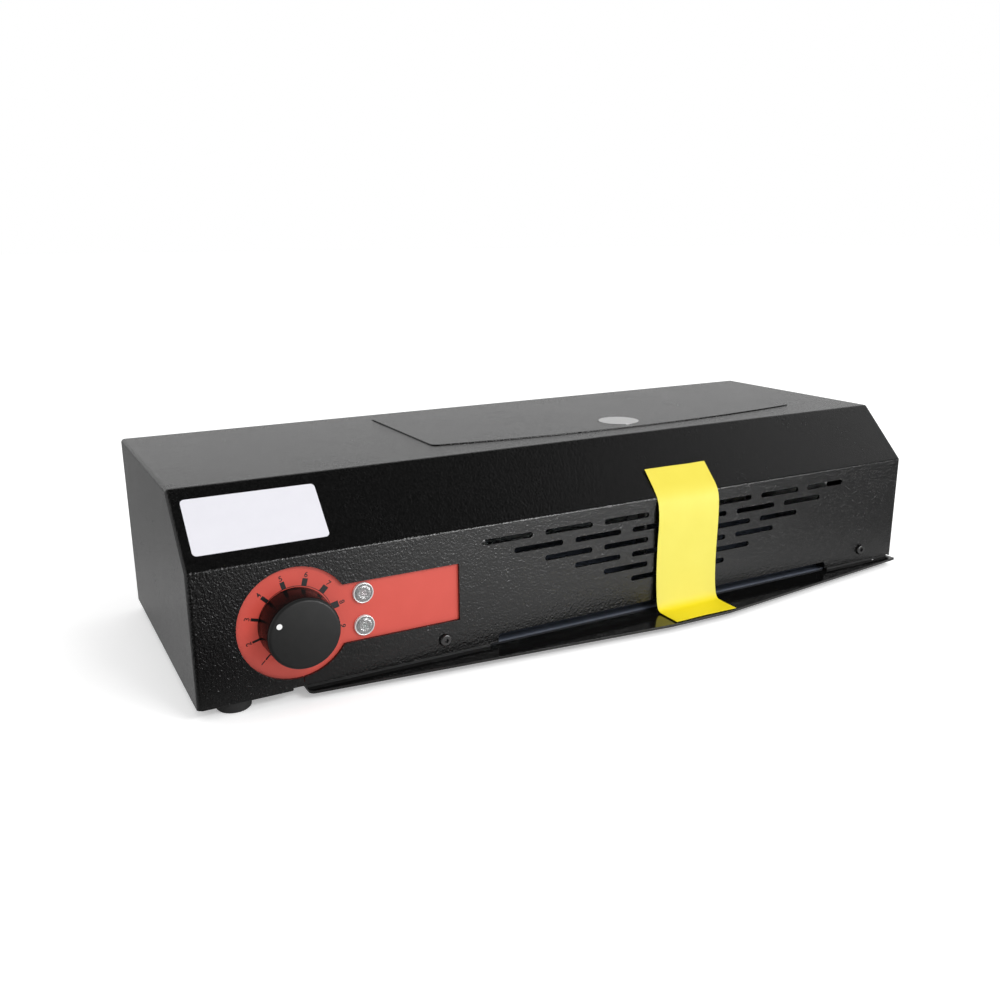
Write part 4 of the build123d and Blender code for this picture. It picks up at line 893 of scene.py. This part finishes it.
# Drive roller
# Brick red silicone rubber, cast on its steel shaft and ground true, which leaves fine rings
# round it.
silicone = finish(
    "silicone_rubber",
    colour=blotch(6 * mm, (0.3, 0.085, 0.06), (0.38, 0.12, 0.085), detail=3),
    roughness=vary(0.5, 1 * mm, 0.2, stretch=(6, 1, 1)),
    bump=relief(0.4 * mm, stretch=(8, 1, 1)),
    bump_depth=0.01 * mm,
)
dress(silicone, "drive_roller")


# Lamp in the drum
# A quartz tube held in two ceramic caps, with a polished aluminium trough over it that throws
# the heat down.
ceramic = finish(
    "ceramic",
    colour=blotch(3 * mm, (0.66, 0.6, 0.48), (0.78, 0.73, 0.62), detail=4),
    roughness=vary(0.6, 1 * mm, 0.2),
    bump=relief(0.5 * mm),
    bump_depth=0.03 * mm,
)
along_the_sheet = (0.06, 1, 1)
bright_aluminium = finish(
    "bright_aluminium",
    colour=blotch(1 * mm, 0.78, 0.88, stretch=along_the_sheet),
    roughness=vary(0.1, 1 * mm, 0.12, stretch=along_the_sheet),
    metallic=1.0,
)
dress(ceramic, "lamp_caps")
dress(bright_aluminium, "reflector")


# Motor, heat sensor and brass parts
# The motor is a plated can on a gearbox, and the capped sensor sits on a bright steel strip. The
# inlet's pins and the posts under the boards are turned from brass.
brass = finish(
    "brass",
    colour=blotch(2 * mm, (0.6, 0.42, 0.16), (0.72, 0.54, 0.24), detail=3),
    roughness=vary(0.24, 1.5 * mm, 0.16, detail=3),
    metallic=1.0,
)
dress(plated_steel, "drive_motor", "heat_sensor")
dress(brass, "inlet_pins", "board_posts")


# Circuit boards
# Laminate boards with a green lacquer over their copper tracks, and potted and moulded parts
# soldered to them.
board_green = finish(
    "green_lacquer",
    colour=blotch(3 * mm, (0.015, 0.1, 0.04), (0.02, 0.15, 0.06), edge=(0.45, 0.55), stretch=(1, 0.3, 1)),
    roughness=vary(0.22, 2 * mm, 0.1),
)
potted_black = finish(
    "potted_black",
    colour=blotch(3 * mm, 0.02, 0.035),
    roughness=vary(0.4, 1 * mm, 0.2),
    bump=relief(0.6 * mm),
    bump_depth=0.03 * mm,
)
dress(board_green, "control_board", "power_board")
dress(potted_black, "board_parts")


# Fan, mains inlet and switch on the back wall
# Moulded black plastic, screwed or snapped into the wall, with a welded steel wire guard over
# the fan.
moulded_black = finish(
    "moulded_black",
    colour=blotch(4 * mm, 0.014, 0.022),
    roughness=vary(0.38, 1.2 * mm, 0.14),
    bump=relief(0.5 * mm),
    bump_depth=0.02 * mm,
)
dress(moulded_black, "fan_frame", "fan_rotor", "power_inlet", "switch_housing")
dress(skirt_plastic, "switch_rocker")
dress(turned_steel, "fan_guard")
